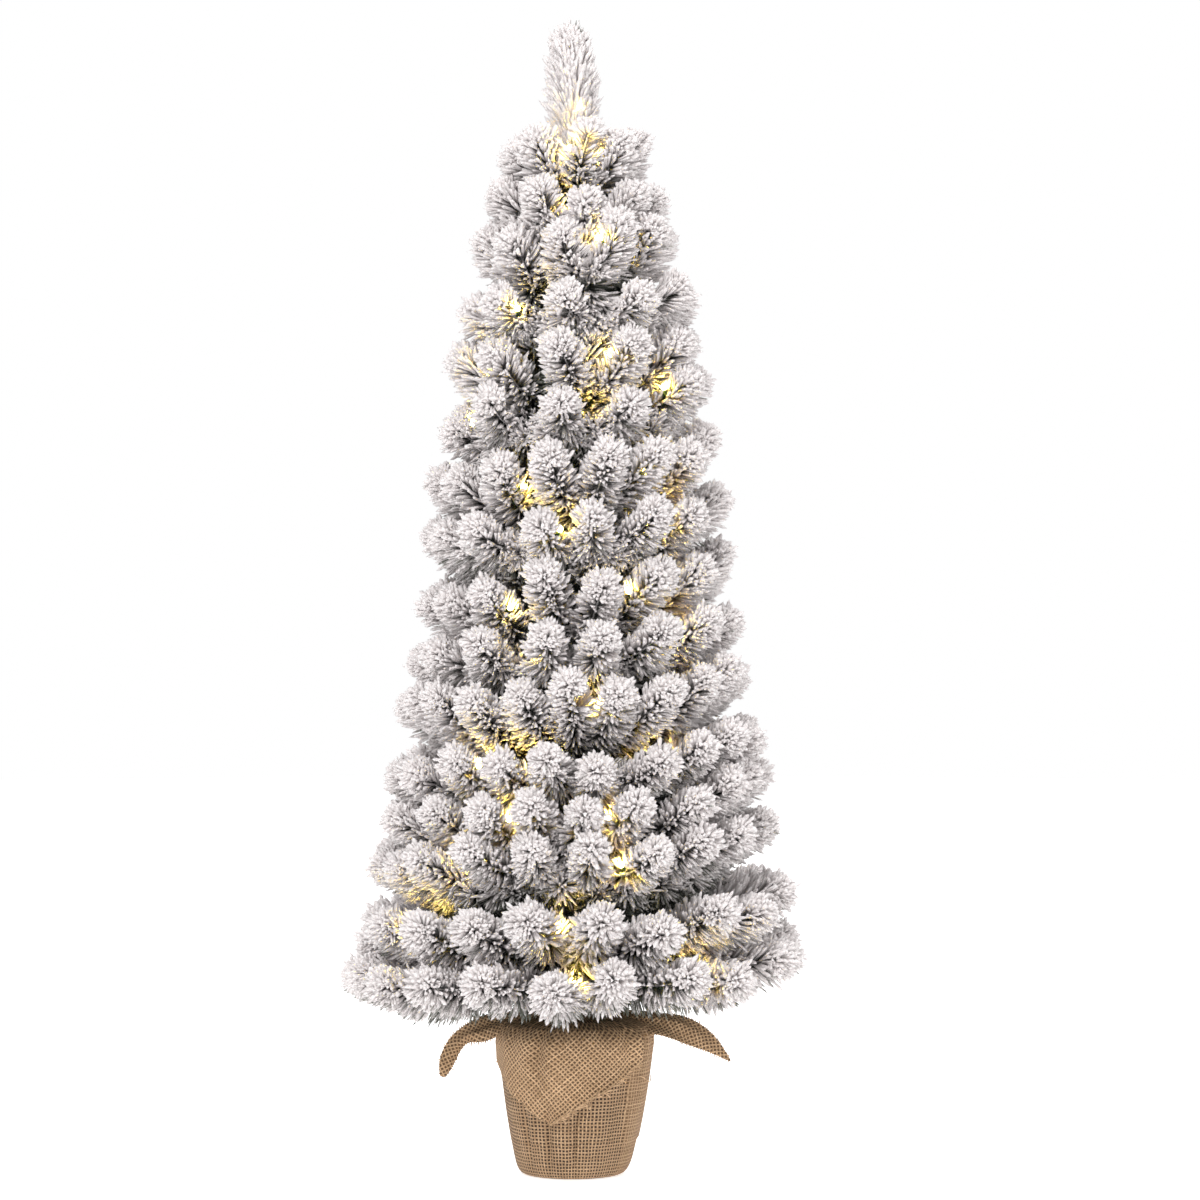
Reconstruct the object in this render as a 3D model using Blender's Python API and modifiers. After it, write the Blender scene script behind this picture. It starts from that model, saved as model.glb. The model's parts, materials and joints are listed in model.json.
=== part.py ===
"""A snow-flocked artificial tabletop tree in a burlap-wrapped pot.

The frame has +Z up and its origin at the centre of the pot's underside. The front faces -Y.
A weighted pot holds a plastic socket. The lower trunk stands in that socket, and the upper
trunk plugs into the lower one. Seven hinge hubs on the trunk each hold five sprays, which
swing up for storage. Two fixed crown rings and the leader finish the top.
"""

import math

import bmesh
import bpy
from mathutils import Matrix, Vector

# Overall sizes, in metres.
ROW_PITCH = 0.0581  # mean height from one row of tips to the next
FOLIAGE_REACH_LOW = 0.2325  # from the axis to the end of a tip in the lowest row
FOLIAGE_REACH_HIGH = 0.0625  # the same in the highest row
REACH_BULGE = 0.017  # how far the outline swells past a straight cone
LEADER_LENGTH = 0.146
POT_HEIGHT = 0.1515
POT_BASE_RADIUS = 0.0535
POT_RIM_RADIUS = 0.0745

# Walls and clearances.
CLEARANCE = 0.0004  # between pieces that touch
POT_WALL = 0.003
POT_FLOOR = 0.004
BURLAP = 0.0016  # the cloth's thickness
CORNER_STANDOFF = 0.0042  # of a folded corner's middle from the wrap under it
CORNER_COLUMNS = 9
BALLAST_DEPTH = 0.098
SOCKET_WALL = 0.004
SOCKET_ABOVE_RIM = 0.018

# Trunk.
POLE_RADIUS = 0.0095
POLE_WALL = 0.0013
PLUG_DEPTH = 0.090  # how far the upper trunk goes into the lower one

# Hinges.
SPRAYS_IN_LEVEL = 5
HUB_WALL = 0.003
HUB_HEIGHT = 0.010
KNUCKLE_RADIUS = 0.0038
KNUCKLE_WIDTH = 0.005
KNUCKLE_STANDOFF = 0.0035  # from the hub's sleeve to the knuckle
PIN_RADIUS = 0.0012
LUG_THICKNESS = 0.002
HINGE_PLAY = 0.0004

# Branches.
ARM_RADIUS = 0.0021
ARM_LENGTH = 0.032  # from the hinge to where the tips part
STEM_RADIUS = 0.0015
CORE_RADIUS = 0.0043  # of the stand-in for a tip's needles
CROWN_CORE_RADIUS = 0.0030  # the same in the crown rings
SPRAY_SPREAD = 0.955  # share of its sector that a spray's tips are spaced over
TURN_WANDER = 1.8  # degrees that a tip may stray from its even place
REACH_WANDER = 0.022  # share of its reach that a tip may be long or short
HEIGHT_WANDER = 0.008
SIDE_LIFT = 0.021  # how much higher the tips end on the right, and lower on the left
SIDE_DROP_LOWEST = -0.004  # the most that the lowest row's tips drop
EVEN_ABOVE = 1.0  # height from which both sides are level
EVEN_FADE = 0.2
LEADER_RADIUS = 0.011

# Rows of tips, from the lowest. Rows pair up on a hub, and the last two are the crown rings.
ROW_LIFT = (0, .005, .021, .014, -.002, .008, .003, .005, .005, .011, .016, .015, .006, .013, 0, 0)
ROW_SLOPE = (3, 11, 17, 20, 22, 23, 24, 24, 24, 24, 24, 25, 25, 28, 35, 42)  # degrees
ROW_TURN = (3, -3, -4, -6, 1, 7, 11, 11, 10, 13, 11, 14, 15, 10.5, 9, 6.5)  # degrees
TIPS_IN_SPRAY = (4, 4, 4, 3, 3, 2, 2)  # for each level, in each of its rows
CROWN_TIPS = (9, 8)
LEVELS = len(TIPS_IN_SPRAY)
SPLIT_LEVEL = 4  # levels on the lower trunk

# Light string, up the back of the trunk.
WIRE_RADIUS = 0.0013
WIRE_GAP = 2  # the light string runs between sprays 3 and 4 of each level
STRING_PLUG = (0.009, 0.007, 0.013)

# Heights that follow from the sizes above.
POT_BOTTOM = BURLAP + CLEARANCE
RIM_Z = POT_BOTTOM + POT_HEIGHT
NECK_Z = RIM_Z + 0.022
FIRST_ROW_Z = NECK_Z + 0.034
SOCKET_BORE = POLE_RADIUS + CLEARANCE
SOCKET_RADIUS = SOCKET_BORE + SOCKET_WALL
SOCKET_Z = POT_BOTTOM + POT_FLOOR + CLEARANCE
SOCKET_TOP = RIM_Z + SOCKET_ABOVE_RIM
POLE_Z = SOCKET_Z + SOCKET_WALL + CLEARANCE
HUB_BORE = POLE_RADIUS + CLEARANCE
HUB_RADIUS = HUB_BORE + HUB_WALL
HINGE_RADIUS = HUB_RADIUS + KNUCKLE_STANDOFF + KNUCKLE_RADIUS
LUG_OFFSET = KNUCKLE_WIDTH / 2 + HINGE_PLAY + LUG_THICKNESS / 2
LAST_ROW = len(ROW_LIFT) - 1
TOP_ROW_Z = FIRST_ROW_Z + LAST_ROW * ROW_PITCH
POLE_TOP = TOP_ROW_Z - 0.022
SECTOR = 360 / SPRAYS_IN_LEVEL

COLOURS = {  # colour, roughness, metallic
    "needles": ((0.74, 0.73, 0.74), 0.9, 0.0),
    "hub_green": ((0.03, 0.07, 0.035), 0.6, 0.0),
    "trunk_green": ((0.02, 0.05, 0.03), 0.45, 0.3),
    "pot_plastic": ((0.05, 0.04, 0.035), 0.6, 0.0),
    "ballast_cement": ((0.42, 0.41, 0.39), 0.95, 0.0),
    "burlap": ((0.42, 0.26, 0.14), 0.95, 0.0),
    "twine": ((0.48, 0.33, 0.19), 0.95, 0.0),
    "wire_green": ((0.02, 0.06, 0.03), 0.5, 0.0),
}


def wobble(*keys):
    """A fixed number from -1 to 1 for these keys, so that no two tips are alike."""
    mixed = sum(key * weight for key, weight in zip(keys, (12.9898, 78.233, 37.719, 9.731)))
    scaled = math.sin(mixed + 1.0) * 43758.5453
    return 2 * (scaled - math.floor(scaled)) - 1


def polar(radius, degrees, z):
    """A point at this distance and direction from the tree's axis. -90 degrees is the front."""
    angle = math.radians(degrees)
    return Vector((radius * math.cos(angle), radius * math.sin(angle), z))


# Rows and tips.


def row_height(row):
    return FIRST_ROW_Z + row * ROW_PITCH + ROW_LIFT[row]


def row_reach(row):
    """How far the ends of this row's tips are from the axis."""
    rise = (row_height(row) - FIRST_ROW_Z) / (TOP_ROW_Z - FIRST_ROW_Z)
    cone = FOLIAGE_REACH_LOW + (FOLIAGE_REACH_HIGH - FOLIAGE_REACH_LOW) * rise
    swell = math.sin(math.pi * max(0.0, (rise - 0.45) / 0.55))
    return cone + REACH_BULGE * swell


def row_root_height(row):
    """Where the line of this row's tips meets the axis."""
    return row_height(row) - row_reach(row) * math.tan(math.radians(ROW_SLOPE[row]))


def level_rows(level):
    return (2 * level, 2 * level + 1)


def hub_height(level):
    """A hub is level with the roots of its upper row."""
    return row_root_height(level_rows(level)[1])


def spray_turn(level, spray):
    """The direction in which a spray points, in degrees."""
    low, high = level_rows(level)
    return -90 + (ROW_TURN[low] + ROW_TURN[high]) / 2 + SECTOR * spray


def side_lift(row, direction):
    """The bent branches' tips: higher on the right, lower on the left, level in front and behind."""
    across = math.cos(math.radians(direction))
    share = min(1.0, max(0.0, (EVEN_ABOVE - row_height(row)) / EVEN_FADE))
    lift = SIDE_LIFT * share * across**3
    return max(lift, SIDE_DROP_LOWEST) if row == 0 else lift


def tip_curve(row, turn, start, key):
    """Start, bend and end of a tip: it leaves its start and straightens out to point outwards."""
    direction = turn + TURN_WANDER * wobble(row, key, 1)
    reach = row_reach(row) * (1 + REACH_WANDER * wobble(row, key, 2))
    end_z = row_height(row) + HEIGHT_WANDER * wobble(row, key, 3) + side_lift(row, direction)
    bend_radius = start.xy.length + 0.42 * (reach - start.xy.length)
    bend_z = end_z - (reach - bend_radius) * math.tan(math.radians(ROW_SLOPE[row]))
    return start, polar(bend_radius, direction, bend_z), polar(reach, direction, end_z)


def along(curve, t):
    start, bend, end = curve
    return start * (1 - t) ** 2 + bend * 2 * t * (1 - t) + end * t * t


def spray_tips(level, spray):
    """The curves of all of a spray's tips."""
    start = polar(HINGE_RADIUS + ARM_LENGTH, spray_turn(level, spray), hub_height(level) + 0.003)
    count = TIPS_IN_SPRAY[level]
    curves = []
    for row in level_rows(level):
        middle = -90 + ROW_TURN[row] + SECTOR * spray
        for tip in range(count):
            offset = (tip - (count - 1) / 2) * SECTOR / count * SPRAY_SPREAD
            curves.append(tip_curve(row, middle + offset, start, spray * count + tip))
    return curves


def crown_tips(ring):
    row = LAST_ROW - 1 + ring
    curves = []
    for tip in range(CROWN_TIPS[ring]):
        turn = -90 + ROW_TURN[row] + 360 / CROWN_TIPS[ring] * tip
        start = polar(HUB_RADIUS - HUB_WALL / 2, turn, row_root_height(row) + 0.004)
        curves.append(tip_curve(row, turn, start, tip))
    return curves


# Blender helpers.


def clear_scene():
    for obj in list(bpy.data.objects):
        bpy.data.objects.remove(obj)


def new_collection(name):
    made = bpy.data.collections.new(name)
    bpy.context.scene.collection.children.link(made)
    return made


def make_material(name):
    colour, roughness, metallic = COLOURS[name]
    material = bpy.data.materials.new(name)
    material.use_nodes = True
    shader = material.node_tree.nodes["Principled BSDF"]
    shader.inputs["Base Color"].default_value = (*colour, 1)
    shader.inputs["Roughness"].default_value = roughness
    shader.inputs["Metallic"].default_value = metallic
    material.diffuse_color = (*colour, 1)
    return material


def place(name, mesh, material):
    """Puts a mesh in the tree as the named node."""
    obj = bpy.data.objects.new(name, mesh)
    TREE.objects.link(obj)
    mesh.materials.clear()
    mesh.materials.append(MATERIALS[material])
    mesh.shade_smooth()
    mesh.set_sharp_from_angle(angle=math.radians(40))
    return obj


def helper(name, mesh):
    obj = bpy.data.objects.new(name, mesh)
    HELPERS.objects.link(obj)
    obj.hide_render = True
    obj.display_type = "WIRE"
    return obj


def evaluated_mesh(obj):
    """The object's mesh with its modifiers applied, in world space and with its caps welded."""
    graph = bpy.context.evaluated_depsgraph_get()
    mesh = bpy.data.meshes.new_from_object(obj.evaluated_get(graph))
    mesh.transform(obj.matrix_world)
    shape = bmesh.new()
    shape.from_mesh(mesh)
    bmesh.ops.remove_doubles(shape, verts=shape.verts, dist=1e-6)
    bmesh.ops.recalc_face_normals(shape, faces=shape.faces)
    shape.to_mesh(mesh)
    shape.free()
    return mesh


def block(size, matrix):
    """A box of this size, as a mesh."""
    shape = bmesh.new()
    bmesh.ops.create_cube(shape, size=1, matrix=matrix @ Matrix.Diagonal((*size, 1)))
    mesh = bpy.data.meshes.new("block")
    shape.to_mesh(mesh)
    shape.free()
    return mesh


def cylinder(radius, length, matrix, segments):
    """A cylinder along its matrix's Z axis, as a mesh."""
    shape = bmesh.new()
    bmesh.ops.create_cone(
        shape,
        cap_ends=True,
        segments=segments,
        radius1=radius,
        radius2=radius,
        depth=length,
        matrix=matrix,
    )
    mesh = bpy.data.meshes.new("cylinder")
    shape.to_mesh(mesh)
    shape.free()
    return mesh


def turned(profile, closed, steps):
    """A profile of (radius, z) points turned round Z. Its outer side runs from top to bottom."""
    mesh = bpy.data.meshes.new("profile")
    edges = [(i, i + 1) for i in range(len(profile) - 1)]
    if closed:
        edges.append((len(profile) - 1, 0))
    mesh.from_pydata([(radius, 0, z) for radius, z in profile], edges, [])
    obj = helper("profile", mesh)
    screw = obj.modifiers.new("turn", "SCREW")
    screw.steps = steps
    screw.render_steps = steps
    screw.use_merge_vertices = True
    screw.merge_threshold = 1e-5
    made = evaluated_mesh(obj)
    bpy.data.objects.remove(obj)
    return made


def tube(points, radii, sides=4):
    """A tube through these points with a radius at each, as a mesh."""
    curve = bpy.data.curves.new("tube", "CURVE")
    curve.dimensions = "3D"
    curve.bevel_depth = 1.0
    curve.bevel_resolution = (sides - 4) // 2
    curve.use_fill_caps = True
    spline = curve.splines.new("POLY")
    spline.points.add(len(points) - 1)
    for target, point, radius in zip(spline.points, points, radii):
        target.co = (*point, 1)
        target.radius = radius
    obj = helper("tube", curve)
    mesh = evaluated_mesh(obj)
    bpy.data.objects.remove(obj)
    return mesh


def fused(meshes, cutters=()):
    """One mesh: the first ones united, with the cutters taken away."""
    base = helper("base", meshes[0])
    used = [base]
    for operation, others in (("UNION", meshes[1:]), ("DIFFERENCE", cutters)):
        if not others:
            continue
        operands = bpy.data.collections.new("operands")
        HELPERS.children.link(operands)
        for other in others:
            operand = bpy.data.objects.new("operand", other)
            operands.objects.link(operand)
            used.append(operand)
        boolean = base.modifiers.new(operation, "BOOLEAN")
        boolean.operation = operation
        boolean.operand_type = "COLLECTION"
        boolean.collection = operands
    bpy.context.view_layer.update()
    made = evaluated_mesh(base)
    for obj in used:
        bpy.data.objects.remove(obj)
    for operands in list(HELPERS.children):
        bpy.data.collections.remove(operands)
    return made


# The pot.


def wrap_outline():
    """The burlap's outer side from the neck down to the middle of its underside."""
    rim = POT_RIM_RADIUS + CLEARANCE + BURLAP
    base = POT_BASE_RADIUS + CLEARANCE + BURLAP
    neck = SOCKET_RADIUS + CLEARANCE + BURLAP
    return [
        (neck + 0.002, NECK_Z + 0.008),
        (neck, NECK_Z),
        (neck + 0.004, NECK_Z - 0.007),
        (rim - 0.022, RIM_Z + 0.010),
        (rim - 0.002, RIM_Z + 0.005),
        (rim + 0.0015, RIM_Z - 0.002),
        (rim + 0.0035, RIM_Z - 0.014),
        (rim + 0.0025, RIM_Z - 0.035),
        (rim - 0.0006, RIM_Z * 0.60),
        (base + (rim - base) * 0.60, RIM_Z * 0.32),
        (base + 0.0055, 0.019),
        (base + 0.002, 0.007),
        (base - 0.004, 0.0),
        (0.0, 0.0),
    ]


def wrap_radius(z):
    """The burlap's outer radius at a height."""
    outline = wrap_outline()
    for (radius_a, z_a), (radius_b, z_b) in zip(outline, outline[1:]):
        if z_b <= z <= z_a and z_a > z_b:
            return radius_b + (radius_a - radius_b) * (z - z_b) / (z_a - z_b)
    return outline[0][0]


def solid_sheet(rows):
    """A grid of points as a sheet of burlap."""
    mesh = bpy.data.meshes.new("sheet")
    across = len(rows[0])
    faces = [
        (i * across + j, i * across + j + 1, (i + 1) * across + j + 1, (i + 1) * across + j)
        for i in range(len(rows) - 1)
        for j in range(across - 1)
    ]
    mesh.from_pydata([point for row in rows for point in row], [], faces)
    obj = helper("sheet", mesh)
    solid = obj.modifiers.new("thickness", "SOLIDIFY")
    solid.thickness = BURLAP
    solid.offset = 0
    made = evaluated_mesh(obj)
    bpy.data.objects.remove(obj)
    return made


def hanging_corner(left, right, tip, tip_z):
    """A corner of the cloth folded down over the pot, as a V from two directions to its tip."""
    rows = []
    top_z = RIM_Z - 0.030
    heights = [NECK_Z - 0.0055, RIM_Z + 0.010, RIM_Z + 0.004, RIM_Z - 0.008]
    heights += [top_z + (tip_z - top_z) * share for share in (0, 0.25, 0.5, 0.75, 1)]
    for z in heights:
        down = min(1.0, max(0.0, (top_z - z) / (top_z - tip_z))) * 0.97
        radius = wrap_radius(z) + (CORNER_STANDOFF if rows else -BURLAP / 2)
        low = left + (tip - left) * down
        high = right + (tip - right) * down
        turns = [-90 + low + (high - low) * j / CORNER_COLUMNS for j in range(CORNER_COLUMNS + 1)]
        rows.append([polar(radius, turn, z) for turn in turns])
    return solid_sheet(rows)


def flying_corner(stations):
    """A corner of the cloth that stands out sideways. Each station is (x, y, z, half width)."""
    rows = []
    for x, y, z, half in stations:
        rows.append([Vector((x, y + half * side, z - 0.1 * half * side * side)) for side in (-1, 0, 1)])
    return solid_sheet(rows)


def make_pot():
    rim_inner = POT_RIM_RADIUS - POT_WALL
    base_inner = POT_BASE_RADIUS - POT_WALL
    floor_z = POT_BOTTOM + POT_FLOOR
    shell = [
        (POT_RIM_RADIUS, RIM_Z),
        (POT_BASE_RADIUS, POT_BOTTOM + 0.005),
        (POT_BASE_RADIUS - 0.006, POT_BOTTOM),
        (0, POT_BOTTOM),
        (0, floor_z),
        (base_inner, floor_z),
        (rim_inner, RIM_Z),
    ]
    place("pot_shell", turned(shell, True, 32), "pot_plastic")
    fill = BALLAST_DEPTH / (RIM_Z - floor_z)
    top_radius = base_inner + (rim_inner - base_inner) * fill
    bore = SOCKET_RADIUS + CLEARANCE
    ballast = [
        (top_radius - 2 * CLEARANCE, floor_z + BALLAST_DEPTH),
        (base_inner - CLEARANCE, floor_z + CLEARANCE),
        (bore, floor_z + CLEARANCE),
        (bore, floor_z + BALLAST_DEPTH),
    ]
    place("ballast", turned(ballast, True, 32), "ballast_cement")
    socket = [
        (SOCKET_RADIUS, SOCKET_TOP),
        (SOCKET_RADIUS, SOCKET_Z),
        (0, SOCKET_Z),
        (0, SOCKET_Z + SOCKET_WALL),
        (SOCKET_BORE, SOCKET_Z + SOCKET_WALL),
        (SOCKET_BORE, SOCKET_TOP),
    ]
    place("trunk_socket", turned(socket, True, 24), "pot_plastic")


def make_burlap():
    outline = wrap_outline()
    inner = [(max(radius - BURLAP, 0), z) for radius, z in outline[:-2]]
    inner.append((outline[-2][0] - BURLAP, BURLAP))
    inner.append((0.0, BURLAP))
    wrap = turned(outline + inner[::-1], True, 24)
    edge = POT_RIM_RADIUS
    corners = [
        hanging_corner(-92, 52, -19, 0.060),
        hanging_corner(128, 236, 186, 0.072),
        flying_corner(
            (
                (-0.5 * edge, 0, RIM_Z + 0.012, 0.026),
                (-edge - 0.004, -0.004, RIM_Z + 0.006, 0.026),
                (-edge - 0.036, -0.006, RIM_Z - 0.006, 0.018),
                (-edge - 0.058, -0.006, RIM_Z - 0.018, 0.011),
                (-edge - 0.063, -0.008, RIM_Z - 0.034, 0.008),
                (-edge - 0.060, -0.010, RIM_Z - 0.049, 0.002),
            )
        ),
        flying_corner(
            (
                (0.5 * edge, 0, RIM_Z + 0.013, 0.026),
                (edge + 0.004, -0.004, RIM_Z + 0.011, 0.026),
                (edge + 0.036, -0.008, RIM_Z + 0.009, 0.020),
                (edge + 0.066, -0.012, RIM_Z - 0.008, 0.013),
                (edge + 0.088, -0.016, RIM_Z - 0.030, 0.002),
            )
        ),
    ]
    place("burlap_wrap", fused([wrap] + corners), "burlap")
    tie_radius = wrap_radius(NECK_Z) + CLEARANCE
    ring = [
        (tie_radius + 0.0042, NECK_Z + 0.0016),
        (tie_radius + 0.0042, NECK_Z - 0.0016),
        (tie_radius + 0.0012, NECK_Z - 0.0024),
        (tie_radius + 0.0012, NECK_Z + 0.0024),
    ]
    place("twine_tie", turned(ring, True, 24), "twine")


# The trunk.


def make_trunk():
    bore = POLE_RADIUS - POLE_WALL
    plug = bore - CLEARANCE
    plug_bore = plug - POLE_WALL
    lower = [(POLE_RADIUS, SPLIT_Z), (POLE_RADIUS, POLE_Z), (bore, POLE_Z), (bore, SPLIT_Z)]
    place("lower_trunk", turned(lower, True, 20), "trunk_green")
    shoulder = SPLIT_Z + CLEARANCE
    upper = [
        (POLE_RADIUS, POLE_TOP),
        (POLE_RADIUS, shoulder),
        (plug, shoulder),
        (plug, SPLIT_Z - PLUG_DEPTH),
        (plug_bore, SPLIT_Z - PLUG_DEPTH),
        (plug_bore, POLE_TOP),
    ]
    place("upper_trunk", turned(upper, True, 20), "trunk_green")


def hinge_frame(level, spray):
    """A matrix whose Z axis is the spray's hinge and whose X axis points outwards."""
    turn = math.radians(spray_turn(level, spray))
    place_at = Matrix.Translation(polar(HINGE_RADIUS, math.degrees(turn), hub_height(level)))
    return place_at @ Matrix.Rotation(turn, 4, "Z") @ Matrix.Rotation(math.pi / 2, 4, "X")


def make_hub(level):
    """A sleeve with a pair of lugs and a riveted pin for each spray."""
    middle = hub_height(level)
    bottom, top = middle - HUB_HEIGHT / 2, middle + HUB_HEIGHT / 2
    sleeve = [(HUB_RADIUS, top), (HUB_RADIUS, bottom), (HUB_BORE, bottom), (HUB_BORE, top)]
    pieces = [turned(sleeve, True, 16)]
    lug_start = HUB_BORE + HUB_WALL / 2 - HINGE_RADIUS
    lug_end = KNUCKLE_RADIUS
    size = (lug_end - lug_start, HUB_HEIGHT - 0.002, LUG_THICKNESS)
    for spray in range(SPRAYS_IN_LEVEL):
        hinge = hinge_frame(level, spray)
        for side in (-1, 1):
            offset = Vector(((lug_start + lug_end) / 2, 0, side * LUG_OFFSET))
            pieces.append(block(size, hinge @ Matrix.Translation(offset)))
        pieces.append(cylinder(PIN_RADIUS, 2 * LUG_OFFSET, hinge, 6))
    place(f"hinge_hub_{level + 1}", fused(pieces), "hub_green")


# The branches.


def tip_mesh(curve, core=CORE_RADIUS):
    stops = (0.0, 0.32, 0.86, 1.0)
    radii = (STEM_RADIUS, core, core, 0.6 * core)
    return tube([along(curve, t) for t in stops], radii)


def make_spray(level, spray):
    """A knuckle on the hub's pin, an arm, and two rows of tips."""
    hinge = hinge_frame(level, spray)
    curves = spray_tips(level, spray)
    start = curves[0][0]
    outwards = (start - hinge.translation).normalized()
    arm = [hinge.translation + outwards * 0.6 * KNUCKLE_RADIUS, start + outwards * 0.002]
    pieces = [cylinder(KNUCKLE_RADIUS, KNUCKLE_WIDTH, hinge, 10)]
    pieces.append(tube(arm, (ARM_RADIUS, ARM_RADIUS)))
    pieces += [tip_mesh(curve) for curve in curves]
    bore = cylinder(PIN_RADIUS + HINGE_PLAY, 2 * KNUCKLE_WIDTH, hinge, 6)
    place(f"spray_{level + 1}_{spray + 1}", fused(pieces, [bore]), "needles")


def make_crown():
    for ring in range(len(CROWN_TIPS)):
        curves = crown_tips(ring)
        middle = curves[0][0].z
        bottom, top = middle - HUB_HEIGHT / 2, middle + HUB_HEIGHT / 2
        sleeve = [(HUB_RADIUS, top), (HUB_RADIUS, bottom), (HUB_BORE, bottom), (HUB_BORE, top)]
        pieces = [turned(sleeve, True, 16)]
        pieces += [tip_mesh(curve, CROWN_CORE_RADIUS) for curve in curves]
        place(f"crown_ring_{ring + 1}", fused(pieces), "needles")


def make_leader():
    """The top tip, whose stem stands in the upper trunk."""
    stem = POLE_RADIUS - 2 * POLE_WALL - 2 * CLEARANCE - 0.0004
    stops = (-0.035, 0.004, 0.012, 0.5 * LEADER_LENGTH, 0.85 * LEADER_LENGTH, LEADER_LENGTH)
    radii = (stem, stem, LEADER_RADIUS, LEADER_RADIUS, 0.7 * LEADER_RADIUS, 0.3 * LEADER_RADIUS)
    points = []
    for stop in stops:
        lean = -0.006 * (max(stop, 0) / LEADER_LENGTH) ** 2
        points.append(Vector((lean, 0, POLE_TOP + stop)))
    place("leader_tip", tube(points, radii, 8), "needles")


# The light string.


def wire_turn(levels):
    """A direction, in degrees, that keeps well between two sprays of each of these levels."""
    gaps = [spray_turn(level, WIRE_GAP) + SECTOR / 2 for level in levels]
    return (min(gaps) + max(gaps)) / 2


def make_light_string():
    run = HUB_RADIUS + CLEARANCE + WIRE_RADIUS
    gap = STRING_PLUG[2] + CLEARANCE
    centre = HUB_RADIUS + CLEARANCE + STRING_PLUG[1] / 2
    bottom = hub_height(0) - 0.020
    top = hub_height(LEVELS - 1) + 0.020
    lower_turn = wire_turn(range(SPLIT_LEVEL))
    upper_turn = wire_turn(range(SPLIT_LEVEL, LEVELS))
    plug_turn = (lower_turn + upper_turn) / 2
    runs = (
        ("light_wire_lower", lower_turn, bottom, SPLIT_Z - gap),
        ("light_wire_upper", upper_turn, SPLIT_Z + gap + CLEARANCE, top),
    )
    for name, turn, low, high in runs:
        ends = [polar(run, turn, low), polar(run, turn, high)]
        place(name, tube(ends, (WIRE_RADIUS, WIRE_RADIUS), 8), "wire_green")
    for name, z in (("string_socket", -STRING_PLUG[2] / 2), ("string_plug", STRING_PLUG[2] / 2 + CLEARANCE)):
        spot = Matrix.Translation(polar(centre, plug_turn, SPLIT_Z + z))
        facing = Matrix.Rotation(math.radians(plug_turn - 90), 4, "Z")
        place(name, block(STRING_PLUG, spot @ facing), "wire_green")


SPLIT_Z = (hub_height(SPLIT_LEVEL - 1) + hub_height(SPLIT_LEVEL)) / 2

clear_scene()
TREE = new_collection("tabletop_tree")
HELPERS = new_collection("helpers")
MATERIALS = {name: make_material(name) for name in COLOURS}

make_pot()
make_burlap()
make_trunk()
for hub_level in range(LEVELS):
    make_hub(hub_level)
    for hub_spray in range(SPRAYS_IN_LEVEL):
        make_spray(hub_level, hub_spray)
make_crown()
make_leader()
make_light_string()
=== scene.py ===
"""The looks of the snow-flocked tabletop tree: needles, lamps, burlap and the plain studio round it."""

import json
import math

import bpy
import numpy as np
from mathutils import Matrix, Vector

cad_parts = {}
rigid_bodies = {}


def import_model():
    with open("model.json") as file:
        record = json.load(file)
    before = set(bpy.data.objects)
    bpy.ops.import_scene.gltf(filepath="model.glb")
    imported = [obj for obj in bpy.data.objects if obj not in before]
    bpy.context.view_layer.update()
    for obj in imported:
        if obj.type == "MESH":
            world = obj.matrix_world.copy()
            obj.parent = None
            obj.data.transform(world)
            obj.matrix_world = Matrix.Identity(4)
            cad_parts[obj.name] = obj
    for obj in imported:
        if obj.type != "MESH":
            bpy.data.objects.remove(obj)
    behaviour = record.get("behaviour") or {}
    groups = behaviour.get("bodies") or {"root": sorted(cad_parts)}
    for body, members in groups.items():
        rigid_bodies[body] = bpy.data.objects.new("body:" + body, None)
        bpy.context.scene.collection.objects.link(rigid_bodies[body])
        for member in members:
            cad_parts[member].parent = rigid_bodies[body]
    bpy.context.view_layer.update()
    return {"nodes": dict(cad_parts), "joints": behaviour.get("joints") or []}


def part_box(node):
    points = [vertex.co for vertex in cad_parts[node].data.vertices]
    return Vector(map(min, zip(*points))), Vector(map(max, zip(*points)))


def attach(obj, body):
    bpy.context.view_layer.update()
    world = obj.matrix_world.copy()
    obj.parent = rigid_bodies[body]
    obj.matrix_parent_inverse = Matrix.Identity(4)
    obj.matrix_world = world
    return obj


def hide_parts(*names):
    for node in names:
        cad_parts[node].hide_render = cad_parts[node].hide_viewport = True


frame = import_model()

# The rows of tips, as in the model's own design. Lengths are in metres and angles in degrees.
FIRST_ROW_Z = 0.2095
ROW_PITCH = 0.0581
REACH_LOW = 0.2325
REACH_HIGH = 0.0625
REACH_BULGE = 0.017
ROW_LIFT = (0, .005, .021, .014, -.002, .008, .003, .005, .005, .011, .016, .015, .006, .013, 0, 0)
ROW_SLOPE = (3, 11, 17, 20, 22, 23, 24, 24, 24, 24, 24, 25, 25, 28, 35, 42)
ROW_TURN = (3, -3, -4, -6, 1, 7, 11, 11, 10, 13, 11, 14, 15, 10.5, 9, 6.5)
TIPS_IN_SPRAY = (4, 4, 4, 3, 3, 2, 2)
CROWN_TIPS = (9, 8)
SPRAYS_IN_LEVEL = 5
SPRAY_SPREAD = 0.955
TURN_WANDER = 1.8
REACH_WANDER = 0.022
HEIGHT_WANDER = 0.008
SIDE_LIFT = 0.021
SIDE_DROP_LOWEST = -0.004
EVEN_ABOVE = 1.0
EVEN_FADE = 0.2
BULGE_FROM = 0.45  # the share of the height where the cone starts to bulge
BEND_SHARE = 0.42  # where a tip bends, as a share of its way out
ARM_LENGTH = 0.032
ARM_RISE = 0.003
CROWN_ROOT_RADIUS = 0.0114
CROWN_ROOT_RISE = 0.004
LAST_ROW = len(ROW_LIFT) - 1
TOP_ROW_Z = FIRST_ROW_Z + LAST_ROW * ROW_PITCH
SECTOR = 360 / SPRAYS_IN_LEVEL
FRONT = -90  # the direction that the camera looks from
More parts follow.
